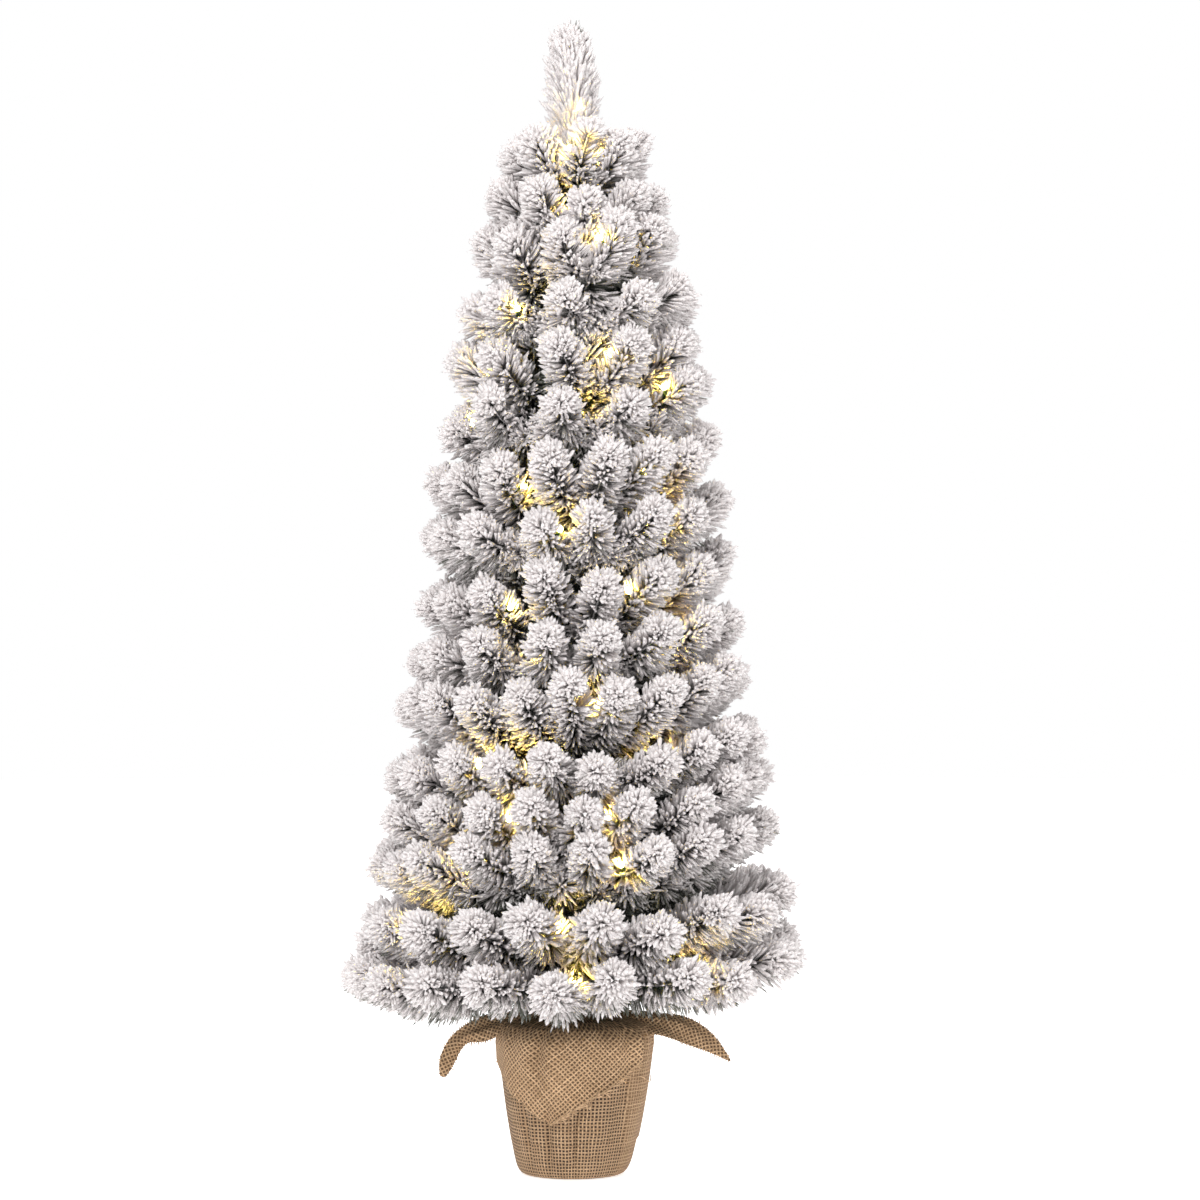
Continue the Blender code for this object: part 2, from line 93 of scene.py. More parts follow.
SPRAYS = [(level, spray) for level in range(len(TIPS_IN_SPRAY)) for spray in range(SPRAYS_IN_LEVEL)]
RINGS = range(len(CROWN_TIPS))

# Needles.
NEEDLE = 0.0335
LOW_ROWS = 2  # these carry longer needles
LOW_ROWS_NEEDLE = 0.038
NEEDLES_PER_METRE = 3900
ROOT_TILT = 48  # degrees from the stem
END_TILT = 40
CAP_NEEDLES = 150  # the needles that make a tip's round end
CAP_DEPTH = 0.05  # the share of a tip's wire that they stand on
CAP_TILT = 80
CAP_LENGTH = 0.80
THIN_SHARE = 0.2  # the share of a wire, from its root, over which the needles grow to full length
THIN_LENGTH = 0.62
NEEDLE_TURN = 2.39996  # radians from one needle to the next round the wire
NEEDLE_SIDES = 3
NEEDLE_POINTS = 2 * NEEDLE_SIDES + 2
NEEDLE_SAG = 0.05
BARE_RADIUS = 0.00045
FLOCKED_RADIUS = 0.00235
# Flock's start and fall-off are set partly for the real flock and partly to paint shade into the tree's
# inside.
FLOCK_FROM = 0.42  # the share of the row's reach where the flock starts
FLOCK_FADE = 0.40

# Tips' wires and the short twigs inside.
STEM_END = 0.95  # how far along its curve a tip's wire runs
STEM_SAG = 0.006  # of a tip's wire on its way out
CURL_SHARE = 0.45  # of the wire, its soft end
CURL_UP = 0.006  # of its soft end
CURL_SIDE = 0.009
STEM_RADII = (0.0011, 0.0008)
TWIG_RADIUS = 0.0009
TWIG_NEEDLES = 0.34  # against a tip's
TWIG_NEEDLE = NEEDLE * 1.1
TWIG_CAP = 40
# The inner twigs' flock starts further out partly to paint shade into the tree's inside.
TWIG_REACH = 1.15  # their flock starts this much further out than the tips'
TWIG_TILTS = (54, 48)

# Hooks, on which the sprays fold.
ARM_TILTS = (64, 60)
ARM_NEEDLES = 90
HOOK_RADIUS = 0.0026
HOOK_GAP = 0.00115
HOOK_WIRE = 0.00095
ARM_TURNS_PER_METRE = 150

# The crown rings' collars: height from the middle, and radius.
COLLAR_SHAPE = ((-0.005, 0.0118), (-0.0045, 0.0128), (0.0045, 0.0128), (0.005, 0.0118))

# The top tip.
LEADER_NEEDLES = 1500
LEADER_NEEDLE = NEEDLE * 1.27
LEADER_TILTS = (33, 22)
LEADER_CAP = 90
LEADER_REACH = 0.016  # its needles are white from their roots on
LEADER_LEAN = -0.006
LEADER_WIRE = 0.0022
LEADER_PLUG = 0.012  # of its stem in the trunk
LEADER_TOP_GAP = 0.016  # from the top of the model's leader to its stem's end
LEADER_LAMP_FOOT = (0.002, -0.006, 1.118)
LEADER_LAMP_FACING = (0.15, -0.92, 0.3)

# Directions of the lamps in each row, in degrees from the front.
LAMP_TURNS = (
    (0, 33), (-48, -7), (-36, 17), (-24, 14), (-35, -15, 40), (9,), (-21, 36), (26, -39),
    (-7, 41), (-29, 37), (2, 52), (18, -56), (-24,), (15, 47), (0,), (-14, 46),
)
LAMP_SPREAD_BEHIND = 14
LOW_LAMP_ROWS = 6  # their lamps light up more of their needles
BULB_RADIUS = 0.0029
BULB_MIDDLE = 0.0175  # from the lamp's foot
LAMP_GAP = 0.0035  # from the stem to the lamp's foot
CLEAR_RADIUS = 0.0086  # no needle crosses this round a lamp
CLEAR_LENGTH = 0.030
HOLDER_SHAPE = ((0.0, 0.0011), (0.002, 0.0016), (0.010, 0.0021), (0.0145, 0.0024), (0.0150, 0.0019))
BULB_SHAPE = ((0.0148, 0.9), (0.0168, 1.0), (0.0185, 0.92), (0.0198, 0.62), (0.0204, 0.2))
LEAD_RADIUS = 0.00055
LEAD_DROP = 0.0026  # of the lead under its stem
LEAD_TURNS_PER_METRE = 55

# Burlap.
CLOTH = 0.0011
WEAVE_PITCH = 0.0037
PLEATS = 23
WRAP_SAG = -0.003  # how far the wrap hangs to the left at its foot
NECK_RADIUS = 0.0162
BASE_RADIUS = 0.0555
WRAP_MEAN_RADIUS = 0.070
WRAP_ROWS = 96
BASE_ROWS = 30  # of them, those under the pot and round its foot
LAP_END = 118  # degrees from the front, where the double cloth ends
# Long folds below the flap: depth, and middle and width in degrees from the front.
LONG_FOLDS = (
    (0.0036, -9.5, 8.0),
    (-0.0046, -21.5, 2.6),
    (-0.0040, 2.5, 2.2),
    (0.0028, -36, 5.0),
    (-0.0034, -44, 3.0),
    (0.0020, 24, 9.0),
)
FLAP_RADIUS = 0.078
FLAP_LIFT = 0.0030  # of the flaps from the wrap
FLAP_BIAS = 41  # degrees between a flap's threads and the upright
FLYING_BIAS = 44
FRINGE_FROM = 14  # the row of a corner where its fringe starts
FRINGE_FLAT = 0.85  # how far the frayed threads turn to lie along the pot
FRINGE_RADII = (0.0007, 0.0005)
# Places along the two corners that stand out: middle's x and y, its height above the pot's rim,
# half width, and how far the cloth faces up there, in degrees.
LEFT_CORNER = (
    (-0.026, -0.002, 0.019, 0.020, 85),
    (-0.052, -0.004, 0.0155, 0.022, 80),
    (-0.072, -0.006, 0.0105, 0.020, 68),
    (-0.092, -0.008, 0.0025, 0.016, 48),
    (-0.104, -0.009, -0.0030, 0.0135, 28),
    (-0.114, -0.010, -0.0045, 0.0085, 18),
    (-0.1235, -0.011, -0.0115, 0.008, 10),
    (-0.13, -0.012, -0.021, 0.0084, 5),
    (-0.135, -0.012, -0.033, 0.0084, 0),
    (-0.1385, -0.013, -0.046, 0.006, 0),
    (-0.14, -0.013, -0.0505, 0.0022, 0),
)
RIGHT_CORNER = (
    (0.024, -0.002, 0.019, 0.020, 85),
    (0.044, -0.004, 0.0125, 0.021, 78),
    (0.063, -0.007, 0.0085, 0.020, 62),
    (0.088, -0.010, 0.0065, 0.0165, 50),
    (0.108, -0.013, 0.0030, 0.0160, 40),
    (0.126, -0.015, -0.0050, 0.0135, 30),
    (0.141, -0.017, -0.0140, 0.0096, 25),
    (0.152, -0.018, -0.0230, 0.0054, 20),
    (0.163, -0.019, -0.0330, 0.0006, 20),
)
TWINE_RADIUS = 0.0188  # of its turns round the neck
TWINE_TURNS_PER_METRE = 260

# The studio.
CAMERA_PLACE = (0.026, -4.028, 0.605)
CAMERA_LENS = 114.4
FLOOR_RADIUS = 9
FLOOR_Z = -0.0004
FLOOR_GLOW = 0.70
WORLD_LIGHT = 0.43  # the white surroundings' light on the object
LIGHT_TARGET = (0, 0, 0.6)
# Name, place, size and power.
LIGHTS = (
    ("key", (-2.2, -5.0, 4.4), 1.8, 240),
    ("fill", (4.6, -3.6, 1.6), 2.6, 50),
    ("top", (0.4, 0.2, 6.0), 2.4, 170),
    ("back", (1.6, 5.0, 3.0), 2.4, 110),
)


def wobble(*keys):
    """A fixed number from -1 to 1 for these keys, so that no two tips are alike."""
    mixed = sum(key * weight for key, weight in zip(keys, (12.9898, 78.233, 37.719, 9.731)))
    scaled = math.sin(mixed + 1.0) * 43758.5453
    return 2 * (scaled - math.floor(scaled)) - 1


def polar(radius, degrees, z):
    angle = math.radians(degrees)
    return Vector((radius * math.cos(angle), radius * math.sin(angle), z))


# The stems' places, which follow the model's rule.


def row_height(row):
    return FIRST_ROW_Z + row * ROW_PITCH + ROW_LIFT[row]


def row_reach(row):
    rise = (row_height(row) - FIRST_ROW_Z) / (TOP_ROW_Z - FIRST_ROW_Z)
    cone = REACH_LOW + (REACH_HIGH - REACH_LOW) * rise
    return cone + REACH_BULGE * math.sin(math.pi * max(0.0, (rise - BULGE_FROM) / (1 - BULGE_FROM)))


def row_root_height(row):
    return row_height(row) - row_reach(row) * math.tan(math.radians(ROW_SLOPE[row]))


def side_lift(row, direction):
    """The bent branches' tips: higher on the right, lower on the left."""
    across = math.cos(math.radians(direction))
    share = min(1.0, max(0.0, (EVEN_ABOVE - row_height(row)) / EVEN_FADE))
    lift = SIDE_LIFT * share * across**3
    return max(lift, SIDE_DROP_LOWEST) if row == 0 else lift


def tip_curve(row, turn, start, key):
    """Start, bend and end of a tip."""
    direction = turn + TURN_WANDER * wobble(row, key, 1)
    reach = row_reach(row) * (1 + REACH_WANDER * wobble(row, key, 2))
    end_z = row_height(row) + HEIGHT_WANDER * wobble(row, key, 3) + side_lift(row, direction)
    bend_radius = start.xy.length + BEND_SHARE * (reach - start.xy.length)
    bend_z = end_z - (reach - bend_radius) * math.tan(math.radians(ROW_SLOPE[row]))
    return start, polar(bend_radius, direction, bend_z), polar(reach, direction, end_z)


def along(curve, t):
    start, bend, end = curve
    return start * (1 - t) ** 2 + bend * 2 * t * (1 - t) + end * t * t


def spray_hinge(level, spray):
    """The spray's joint from the frame."""
    name = f"fold_{level + 1}_{spray + 1}"
    return next(joint for joint in frame["joints"] if joint["name"] == name)


def spray_start(level, spray):
    """Where a spray's arm ends and its tips part."""
    hinge = Vector(spray_hinge(level, spray)["pos_m"])
    turn = math.degrees(math.atan2(hinge.y, hinge.x))
    return polar(hinge.xy.length + ARM_LENGTH, turn, hinge.z + ARM_RISE)


def spray_tips(level, spray):
    """(row, curve) of each of a spray's tips."""
    start = spray_start(level, spray)
    count = TIPS_IN_SPRAY[level]
    tips = []
    for row in (2 * level, 2 * level + 1):
        middle = FRONT + ROW_TURN[row] + SECTOR * spray
        for tip in range(count):
            offset = (tip - (count - 1) / 2) * SECTOR / count * SPRAY_SPREAD
            tips.append((row, tip_curve(row, middle + offset, start, spray * count + tip)))
    return tips


def crown_tips(ring):
    row = LAST_ROW - 1 + ring
    tips = []
    for tip in range(CROWN_TIPS[ring]):
        turn = FRONT + ROW_TURN[row] + 360 / CROWN_TIPS[ring] * tip
        start = polar(CROWN_ROOT_RADIUS, turn, row_root_height(row) + CROWN_ROOT_RISE)
        tips.append((row, tip_curve(row, turn, start, tip)))
    return tips


# Meshes from arrays.


class Batch:
    """Points and faces gathered for one mesh."""

    def __init__(self):
        self.points, self.triangles, self.values, self.size = [], [], [], 0

    def add(self, points, triangles, values=None):
        points = np.asarray(points, float).reshape(-1, 3)
        self.points.append(points)
        self.triangles.append(np.asarray(triangles, int).reshape(-1, 3) + self.size)
        self.values.append(np.zeros((len(points), 2)) if values is None else values)
        self.size += len(points)

    def mesh(self, name):
        points = np.concatenate(self.points)
        triangles = np.concatenate(self.triangles)
        mesh = bpy.data.meshes.new(name)
        mesh.vertices.add(len(points))
        mesh.vertices.foreach_set("co", points.astype(np.float32).ravel())
        mesh.loops.add(triangles.size)
        mesh.loops.foreach_set("vertex_index", triangles.astype(np.int32).ravel())
        mesh.polygons.add(len(triangles))
        mesh.polygons.foreach_set("loop_start", np.arange(0, triangles.size, 3, dtype=np.int32))
        mesh.update(calc_edges=True)
        mesh.validate()
        mesh.shade_smooth()
        return mesh

    def all_values(self):
        return np.concatenate(self.values)


def show(name, mesh, material, body, slot, *replaced):
    """Puts a piece in the scene, riding on its body."""
    obj = bpy.data.objects.new(name, mesh)
    bpy.context.scene.collection.objects.link(obj)
    mesh.materials.append(material)
    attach(obj, body)
    if replaced:
        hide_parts(*replaced)
    return obj


def corner_points(mesh):
    """The number of the point at each corner of a mesh's faces."""
    points = np.empty(len(mesh.loops), np.int32)
    mesh.loops.foreach_get("vertex_index", points)
    return points


def unit(vectors):
    return vectors / np.maximum(np.linalg.norm(vectors, axis=-1, keepdims=True), 1e-12)


def step_lengths(path):
    return np.linalg.norm(np.diff(path, axis=0), axis=1)


def distances(path):
    """How far along a path each of its points is."""
    return np.concatenate(([0], np.cumsum(step_lengths(path))))


def points_at(places, length, columns):
    """The columns' values at places along a path whose points are at these lengths."""
    return np.stack([np.interp(places, length, column) for column in columns.T], 1)


def frames_along(path):
    """Tangent, side and lift at each point of a path."""
    tangent = unit(np.gradient(path, axis=0))
    upright = abs(tangent[len(tangent) // 2, 2]) > 0.9
    reference = np.array((1.0, 0, 0) if upright else (0, 0, 1.0))
    side = unit(np.cross(tangent, reference))
    return tangent, side, np.cross(side, tangent)


def tube_faces(rows, sides):
    """Triangles of a tube of rings, closed to a point at each end."""
    here = np.arange(sides)
    after = (here + 1) % sides
    faces = []
    for row in range(rows - 1):
        a, b = row * sides + here, row * sides + after
        c, d = a + sides, b + sides
        faces += [np.stack((a, b, d), 1), np.stack((a, d, c), 1)]
    first, last = rows * sides, rows * sides + 1
    faces.append(np.stack((np.full(sides, first), after, here), 1))
    top = (rows - 1) * sides
    faces.append(np.stack((np.full(sides, last), top + here, top + after), 1))
    return np.concatenate(faces)


def sweep(batch, path, radii, sides=6, reach=None):
    """Adds a closed tube along a path. With a reach, flock lies on its outer part."""
    path = np.asarray(path, float)
    radii = np.broadcast_to(radii, len(path))
    _, side, lift = frames_along(path)
    angles = (np.arange(sides) * 2 * math.pi / sides)[None, :, None]
    ring = np.cos(angles) * side[:, None] + np.sin(angles) * lift[:, None]
    points = path[:, None] + ring * radii[:, None, None]
    made = np.concatenate((points.reshape(-1, 3), path[:1], path[-1:]))
    values = None
    if reach:
        snow = np.clip((np.hypot(made[:, 0], made[:, 1]) / reach - 0.35) / 0.3, 0, 0.75)
        values = np.stack((snow, np.full(len(made), 0.4)), 1)
    batch.add(made, tube_faces(len(path), sides), values)


def twisted(batch, path, strand, turns_per_metre, sides=5):
    """Adds two strands wound round a path."""
    path = np.asarray(path, float)
    length = distances(path)
    count = max(8, int(length[-1] * turns_per_metre * 8))
    places = np.linspace(0, length[-1], count)
    fine = points_at(places, length, path)
    _, side, lift = frames_along(fine)
    for start in (0, 0.5):
        angle = 2 * math.pi * (places * turns_per_metre + start)
        offset = np.cos(angle)[:, None] * side + np.sin(angle)[:, None] * lift
        sweep(batch, fine + offset * strand * 1.02, strand, sides)


# Materials.


class Nodes:
    """Short ways to build a material's nodes."""

    def __init__(self, name, roughness, metallic=0.0):
        self.material = bpy.data.materials.new(name)
        self.material.use_nodes = True
        self.tree = self.material.node_tree
        self.shader = self.tree.nodes["Principled BSDF"]
        self.shader.inputs["Roughness"].default_value = roughness
        self.shader.inputs["Metallic"].default_value = metallic

    def node(self, kind, inputs, **settings):
        """A node with these settings, and values or links for its inputs."""
        made = self.tree.nodes.new(kind)
        for name, value in settings.items():
            setattr(made, name, value)
        for socket, value in inputs.items():
            self.put(made.inputs[socket], value)
        return made

    def put(self, socket, value):
        if isinstance(value, bpy.types.NodeSocket):
            self.tree.links.new(value, socket)
        else:
            socket.default_value = value

    def math(self, operation, *values):
        return self.node("ShaderNodeMath", dict(enumerate(values)), operation=operation).outputs[0]

    def ramp(self, value, low, high):
        """0 below low, 1 above high, smooth between."""
        inputs = {"Value": value, "From Min": low, "From Max": high}
        return self.node("ShaderNodeMapRange", inputs, interpolation_type="SMOOTHSTEP").outputs["Result"]

    def mix(self, factor, first, second):
        colours = [(*each, 1) if isinstance(each, tuple) else each for each in (first, second)]
        inputs = {"Factor": factor, 6: colours[0], 7: colours[1]}
        return self.node("ShaderNodeMix", inputs, data_type="RGBA").outputs[2]

    def noise(self, scale, detail=2.0, vector=None):
        place = vector or self.node("ShaderNodeTexCoord", {}).outputs["Object"]
        inputs = {"Scale": scale, "Detail": detail, "Vector": place}
        return self.node("ShaderNodeTexNoise", inputs).outputs["Fac"]

    def bump(self, height, strength, distance):
        inputs = {"Strength": strength, "Distance": distance, "Height": height}
        made = self.node("ShaderNodeBump", inputs)
        self.put(self.shader.inputs["Normal"], made.outputs["Normal"])

    def colour(self, socket):
        self.put(self.shader.inputs["Base Color"], socket)

    def glow(self, colour, strength):
        self.shader.inputs["Emission Color"].default_value = (*colour, 1)
        self.shader.inputs["Emission Strength"].default_value = strength

    def attribute(self, name):
        return self.node("ShaderNodeAttribute", {}, attribute_name=name).outputs["Fac"]


def speckled(name, dark, light, roughness, scale, metallic=0.0, depth=0.0002):
    """A moulded, painted or cast surface with fine grain and uneven colour."""
    nodes = Nodes(name, roughness, metallic)
    broad = nodes.ramp(nodes.noise(scale / 6), 0.3, 0.7)
    nodes.colour(nodes.mix(broad, dark, light))
    fine = nodes.noise(scale, 4.0)
    nodes.bump(fine, 0.5, depth)
    rough = nodes.math("MULTIPLY_ADD", fine, 0.25, roughness - 0.12)
    nodes.put(nodes.shader.inputs["Roughness"], rough)
    return nodes.material


def needle_material():
    """Dark green needles that turn white and lumpy where the flock lies. The flock values also hold
    painted shade: less white inside the tree and under the tips.
    """
    nodes = Nodes("flocked_needles", 0.92)
    patches = nodes.noise(420.0, 2.0)
    cover = nodes.math("MULTIPLY_ADD", patches, 0.5, nodes.attribute("flock"))
    white = nodes.mix(nodes.ramp(patches, 0.3, 0.7), (0.72, 0.665, 0.655), (0.88, 0.845, 0.845))
    green = nodes.mix(nodes.attribute("shade"), (0.050, 0.062, 0.044), (0.175, 0.175, 0.135))
    nodes.colour(nodes.mix(nodes.ramp(cover, 0.46, 0.80), green, white))
    nodes.bump(nodes.noise(1100.0, 2.0), 0.7, 0.0006)
    nodes.shader.inputs["Sheen Weight"].default_value = 0.15
    nodes.shader.inputs["Sheen Roughness"].default_value = 0.6
    return nodes.material


def bulb_material(name, strength):
    """A lit warm white lamp."""
    nodes = Nodes(name, 0.15)
    nodes.shader.inputs["Base Color"].default_value = (1.0, 0.86, 0.60, 1)
    nodes.glow((1.0, 0.70, 0.10), strength)
    nodes.bump(nodes.noise(900.0), 0.1, 0.0001)
    return nodes.material


def scaled(colour, share):
    return tuple(share * part for part in colour)


def thread_counts(nodes, place):
    """Threads counted across and along the cloth, with the sway of their lines."""
    split = nodes.node("ShaderNodeSeparateXYZ", {0: place})
    sway = nodes.math("SUBTRACT", nodes.noise(90.0, 2.0, place), 0.5)
    return [
        nodes.math("MULTIPLY_ADD", sway, push, nodes.math("DIVIDE", split.outputs[axis], WEAVE_PITCH))
        for axis, push in ((0, 0.55), (1, -0.55))
    ]


def thread_heights(nodes, counts):
    """The round profiles of both sets of threads, and their heights where they pass over and under."""
    rounds, signs = [], []
    for count in counts:
        wave = nodes.math("COSINE", nodes.math("MULTIPLY", count, 2 * math.pi))
        rounds.append(nodes.math("MULTIPLY_ADD", wave, 0.5, 0.5))
        signs.append(nodes.math("COSINE", nodes.math("MULTIPLY", count, math.pi)))
    over = nodes.math("MULTIPLY", signs[0], signs[1])
    heights = [
        nodes.math("MULTIPLY", profile, nodes.math("MULTIPLY_ADD", over, lift, 0.7))
        for profile, lift in zip(rounds, (0.3, -0.3))
    ]
    return rounds, heights


def thread_grain(nodes, place, heights):
    """Fine grain that runs along whichever thread is on top."""
    grains = []
    for stretch in ((330.0, 14.0, 1.0), (14.0, 330.0, 1.0)):
        scale = nodes.node("ShaderNodeVectorMath", {0: place, 1: stretch}, operation="MULTIPLY")
        grains.append(nodes.noise(1.0, 2.0, scale.outputs[0]))
    top = nodes.ramp(nodes.math("SUBTRACT", *heights), -0.1, 0.1)
    inputs = {0: top, 2: grains[1], 3: grains[0]}
    return nodes.node("ShaderNodeMix", inputs, data_type="FLOAT").outputs[0]


def burlap_material(name, tone_and_painted_light, gap, backed_gap):
    """Coarse plain weave of jute, thread over thread, with painted shade where the threads sink and in
    the gaps, which stand for what shows through the weave. Its gaps are lighter where cloth backs them.
    """
    nodes = Nodes(name, 0.93)
    place = nodes.node("ShaderNodeUVMap", {}, uv_map="weave").outputs["UV"]
    rounds, heights = thread_heights(nodes, thread_counts(nodes, place))
    height = nodes.math("MAXIMUM", *heights)
    looseness = nodes.noise(26.0, 1.0, place)
    closeness = nodes.math("MULTIPLY_ADD", looseness, -0.45, nodes.math("MAXIMUM", *rounds))
    grain = nodes.ramp(thread_grain(nodes, place, heights), 0.32, 0.68)
    # The second argument scales the threads' colours: the jute's own colour together with painted light,
    # lower on the wrap and higher on its corners.
    dark, light = scaled((0.40, 0.250, 0.135), tone_and_painted_light), scaled((0.64, 0.425, 0.250), tone_and_painted_light)
    thread = nodes.mix(grain, dark, light)
    # Painted shade: the colour that the threads take where they sink between their neighbours.
    side = scaled((0.27, 0.160, 0.085), tone_and_painted_light)
    cloth = nodes.mix(nodes.ramp(height, 0.2, 0.75), side, thread)
    # The gaps show the pot behind the cloth, and the second layer where the wrap lies double, both in
    # painted shade.
    behind = nodes.mix(nodes.attribute("backed"), gap, backed_gap)
    nodes.colour(nodes.mix(nodes.ramp(closeness, 0.24, 0.50), behind, cloth))
    fibres = nodes.noise(2600.0, 2.0, place)
    nodes.bump(nodes.math("MULTIPLY_ADD", fibres, 0.12, height), 0.85, 0.0011)
    return nodes.material


def fibre_material():
    """Loose jute threads."""
    nodes = Nodes("jute_fibre", 0.95)
    patches = nodes.ramp(nodes.noise(260.0), 0.3, 0.7)
    nodes.colour(nodes.mix(patches, (0.42, 0.270, 0.150), (0.72, 0.500, 0.310)))
    nodes.bump(nodes.noise(1800.0), 0.6, 0.0004)
    return nodes.material


NEEDLES = needle_material()
WIRE = speckled("green_wire", (0.015, 0.040, 0.022), (0.035, 0.075, 0.040), 0.5, 700.0)
HUB = speckled("moulded_green", (0.018, 0.045, 0.025), (0.035, 0.075, 0.040), 0.55, 500.0)
TRUNK = speckled("painted_steel", (0.016, 0.042, 0.026), (0.028, 0.062, 0.038), 0.4, 380.0, 0.3)
POT = speckled("moulded_brown", (0.035, 0.028, 0.022), (0.065, 0.050, 0.040), 0.6, 300.0)
CEMENT = speckled("cast_cement", (0.30, 0.29, 0.27), (0.52, 0.50, 0.47), 0.95, 240.0, 0.0, 0.0008)
BULB = bulb_material("lit_lamp", 200.0)
LOW_BULB = bulb_material("lit_lamp_low", 420.0)
# The gap colours here stand for what shows through the weave, in painted shade: the second layer where
# the wrap lies double, the pot behind the wrap, and the wrap behind its corners.
BACKED_GAP = (0.19, 0.110, 0.056)
# One cloth in two copies: the wrap's threads scaled to 0.84, painted shade, and the corners' threads
# scaled to 1.09, painted light.
BURLAP_SHADED = burlap_material("burlap_weave_shaded", 0.84, (0.036, 0.019, 0.010), BACKED_GAP)
BURLAP_CORNER_LIT = burlap_material("burlap_corner_weave_lit", 1.09, (0.125, 0.072, 0.037), BACKED_GAP)
FIBRE = fibre_material()


# Foliage.


def stem_path(curve, steps=40):
    return np.array([along(curve, STEM_END * i / (steps - 1)) for i in range(steps)])


def tip_turn(curve):
    return math.degrees(math.atan2(curve[2].y, curve[2].x))


def tip_path(curve):
    """A tip's stem, which sags on its way out and whose end curls up and to one side."""
    path = stem_path(curve)
    share = np.linspace(0, 1, len(path))
    turn, z = tip_turn(curve), curve[2].z
    side = np.array((-math.sin(math.radians(turn)), math.cos(math.radians(turn)), 0))
    curl = np.clip((share - (1 - CURL_SHARE)) / CURL_SHARE, 0, 1) ** 2
    rise = CURL_UP * (1 + 0.7 * wobble(turn, z, 11)) * curl - STEM_SAG * np.sin(math.pi * share)
    swing = CURL_SIDE * wobble(turn, z, 13) * curl
    return path + rise[:, None] * np.array((0, 0, 1.0)) + swing[:, None] * side


def needle_rays(path, spot, body, tilts, rng):
    """Each needle's root and direction, and the path's direction at its root."""
    length = distances(path)
    place = spot * length[-1]
    root = points_at(place, length, path)
    tangent, side, lift = (points_at(place, length, each) for each in frames_along(path))
    count = len(spot)
    cap = count - body
    turn = np.arange(count) * NEEDLE_TURN + rng.normal(0, 0.5, count)
    lean = np.interp(spot, (0, 0.6, 1), (tilts[0], tilts[0], tilts[1])) + rng.normal(0, 4.5, count)
    lean[body:] = CAP_TILT * rng.uniform(0, 1, cap) ** 0.6 + rng.normal(0, 12, cap)
    lean = np.radians(lean)[:, None]
    outwards = np.cos(turn)[:, None] * side + np.sin(turn)[:, None] * lift
    return root, unit(np.cos(lean) * tangent + np.sin(lean) * outwards), tangent


def needle_sizes(spot, body, needle, thin_root, rng):
    count = len(spot)
    size = needle * (1 + rng.normal(0, 0.05, count)) * np.interp(spot, (0.5, 0.8, 1), (1.03, 0.92, 0.70))
    size[body:] *= CAP_LENGTH * (1 + rng.normal(0, 0.09, count - body))
    if thin_root:
        size *= np.interp(spot, (0, THIN_SHARE), (THIN_LENGTH, 1.0))
    return size[:, None]


def flock_and_painted_shade(end, direction, body, reach, rng):
    """How much flock a needle has: most on the tree's outside and on needles that point up, as the real
    flock lies. It is set thinner inside the tree and under the tips partly to darken them, which is
    painted shade.
    """
    out = np.hypot(end[:, 0], end[:, 1]) / reach
    # Less flock towards the trunk: partly the real flock, partly painted shade in the tree's inside.
    snow = np.clip((out - FLOCK_FROM) / FLOCK_FADE, 0, 1)
    # Less flock on needles that point down: partly the flock's fall from above, partly painted shade
    # under the tips.
    snow = snow * np.clip(0.76 + 0.44 * direction[:, 2] + rng.normal(0, 0.14, len(end)), 0.15, 1)
    snow[body:] = np.maximum(snow[body:], 0.9 * np.clip((out[body:] - 0.5) / 0.3, 0, 1))
    return snow


def needle_values(snow, body, rng):
    """Flock, and shade as a random green colour per needle, at each point of each needle. Cap needles'
    flock reaches their roots, partly as painted light.
    """
    values = np.zeros((len(snow), NEEDLE_POINTS, 2))
    values[:, 0, 0] = snow * 0.25
    values[:, 1 : 1 + NEEDLE_SIDES, 0] = (snow * 0.85)[:, None]
    values[:, 1 + NEEDLE_SIDES :, 0] = snow[:, None]
    # Cap needles stay white down to their roots: partly the flock on the tips' ends, partly painted
    # light over the shade between them.
    values[body:, : 1 + NEEDLE_SIDES, 0] = snow[body:, None] * 0.9
    values[:, :, 1] = rng.uniform(0, 1, len(snow))[:, None]
    return values


def away_from(lamps, middle, end):
    """Which needles stay clear of every lamp."""
    keep = np.ones(len(end), bool)
    for bulb, outward in lamps:
        for at in (middle, end):
            reached = np.clip((at - bulb) @ outward, 0, CLEAR_LENGTH)
            keep &= np.linalg.norm(at - bulb - reached[:, None] * outward, axis=1) > CLEAR_RADIUS
    return keep


def needle_faces(count):
    faces = []
    for corner in range(NEEDLE_SIDES):
        a, b = 1 + corner, 1 + (corner + 1) % NEEDLE_SIDES
        c, d = a + NEEDLE_SIDES, b + NEEDLE_SIDES
        faces += [(0, b, a), (a, b, d), (a, d, c), (c, d, NEEDLE_POINTS - 1)]
    faces = np.array(faces)[None] + (np.arange(count) * NEEDLE_POINTS)[:, None, None]
    return faces.reshape(-1, 3)


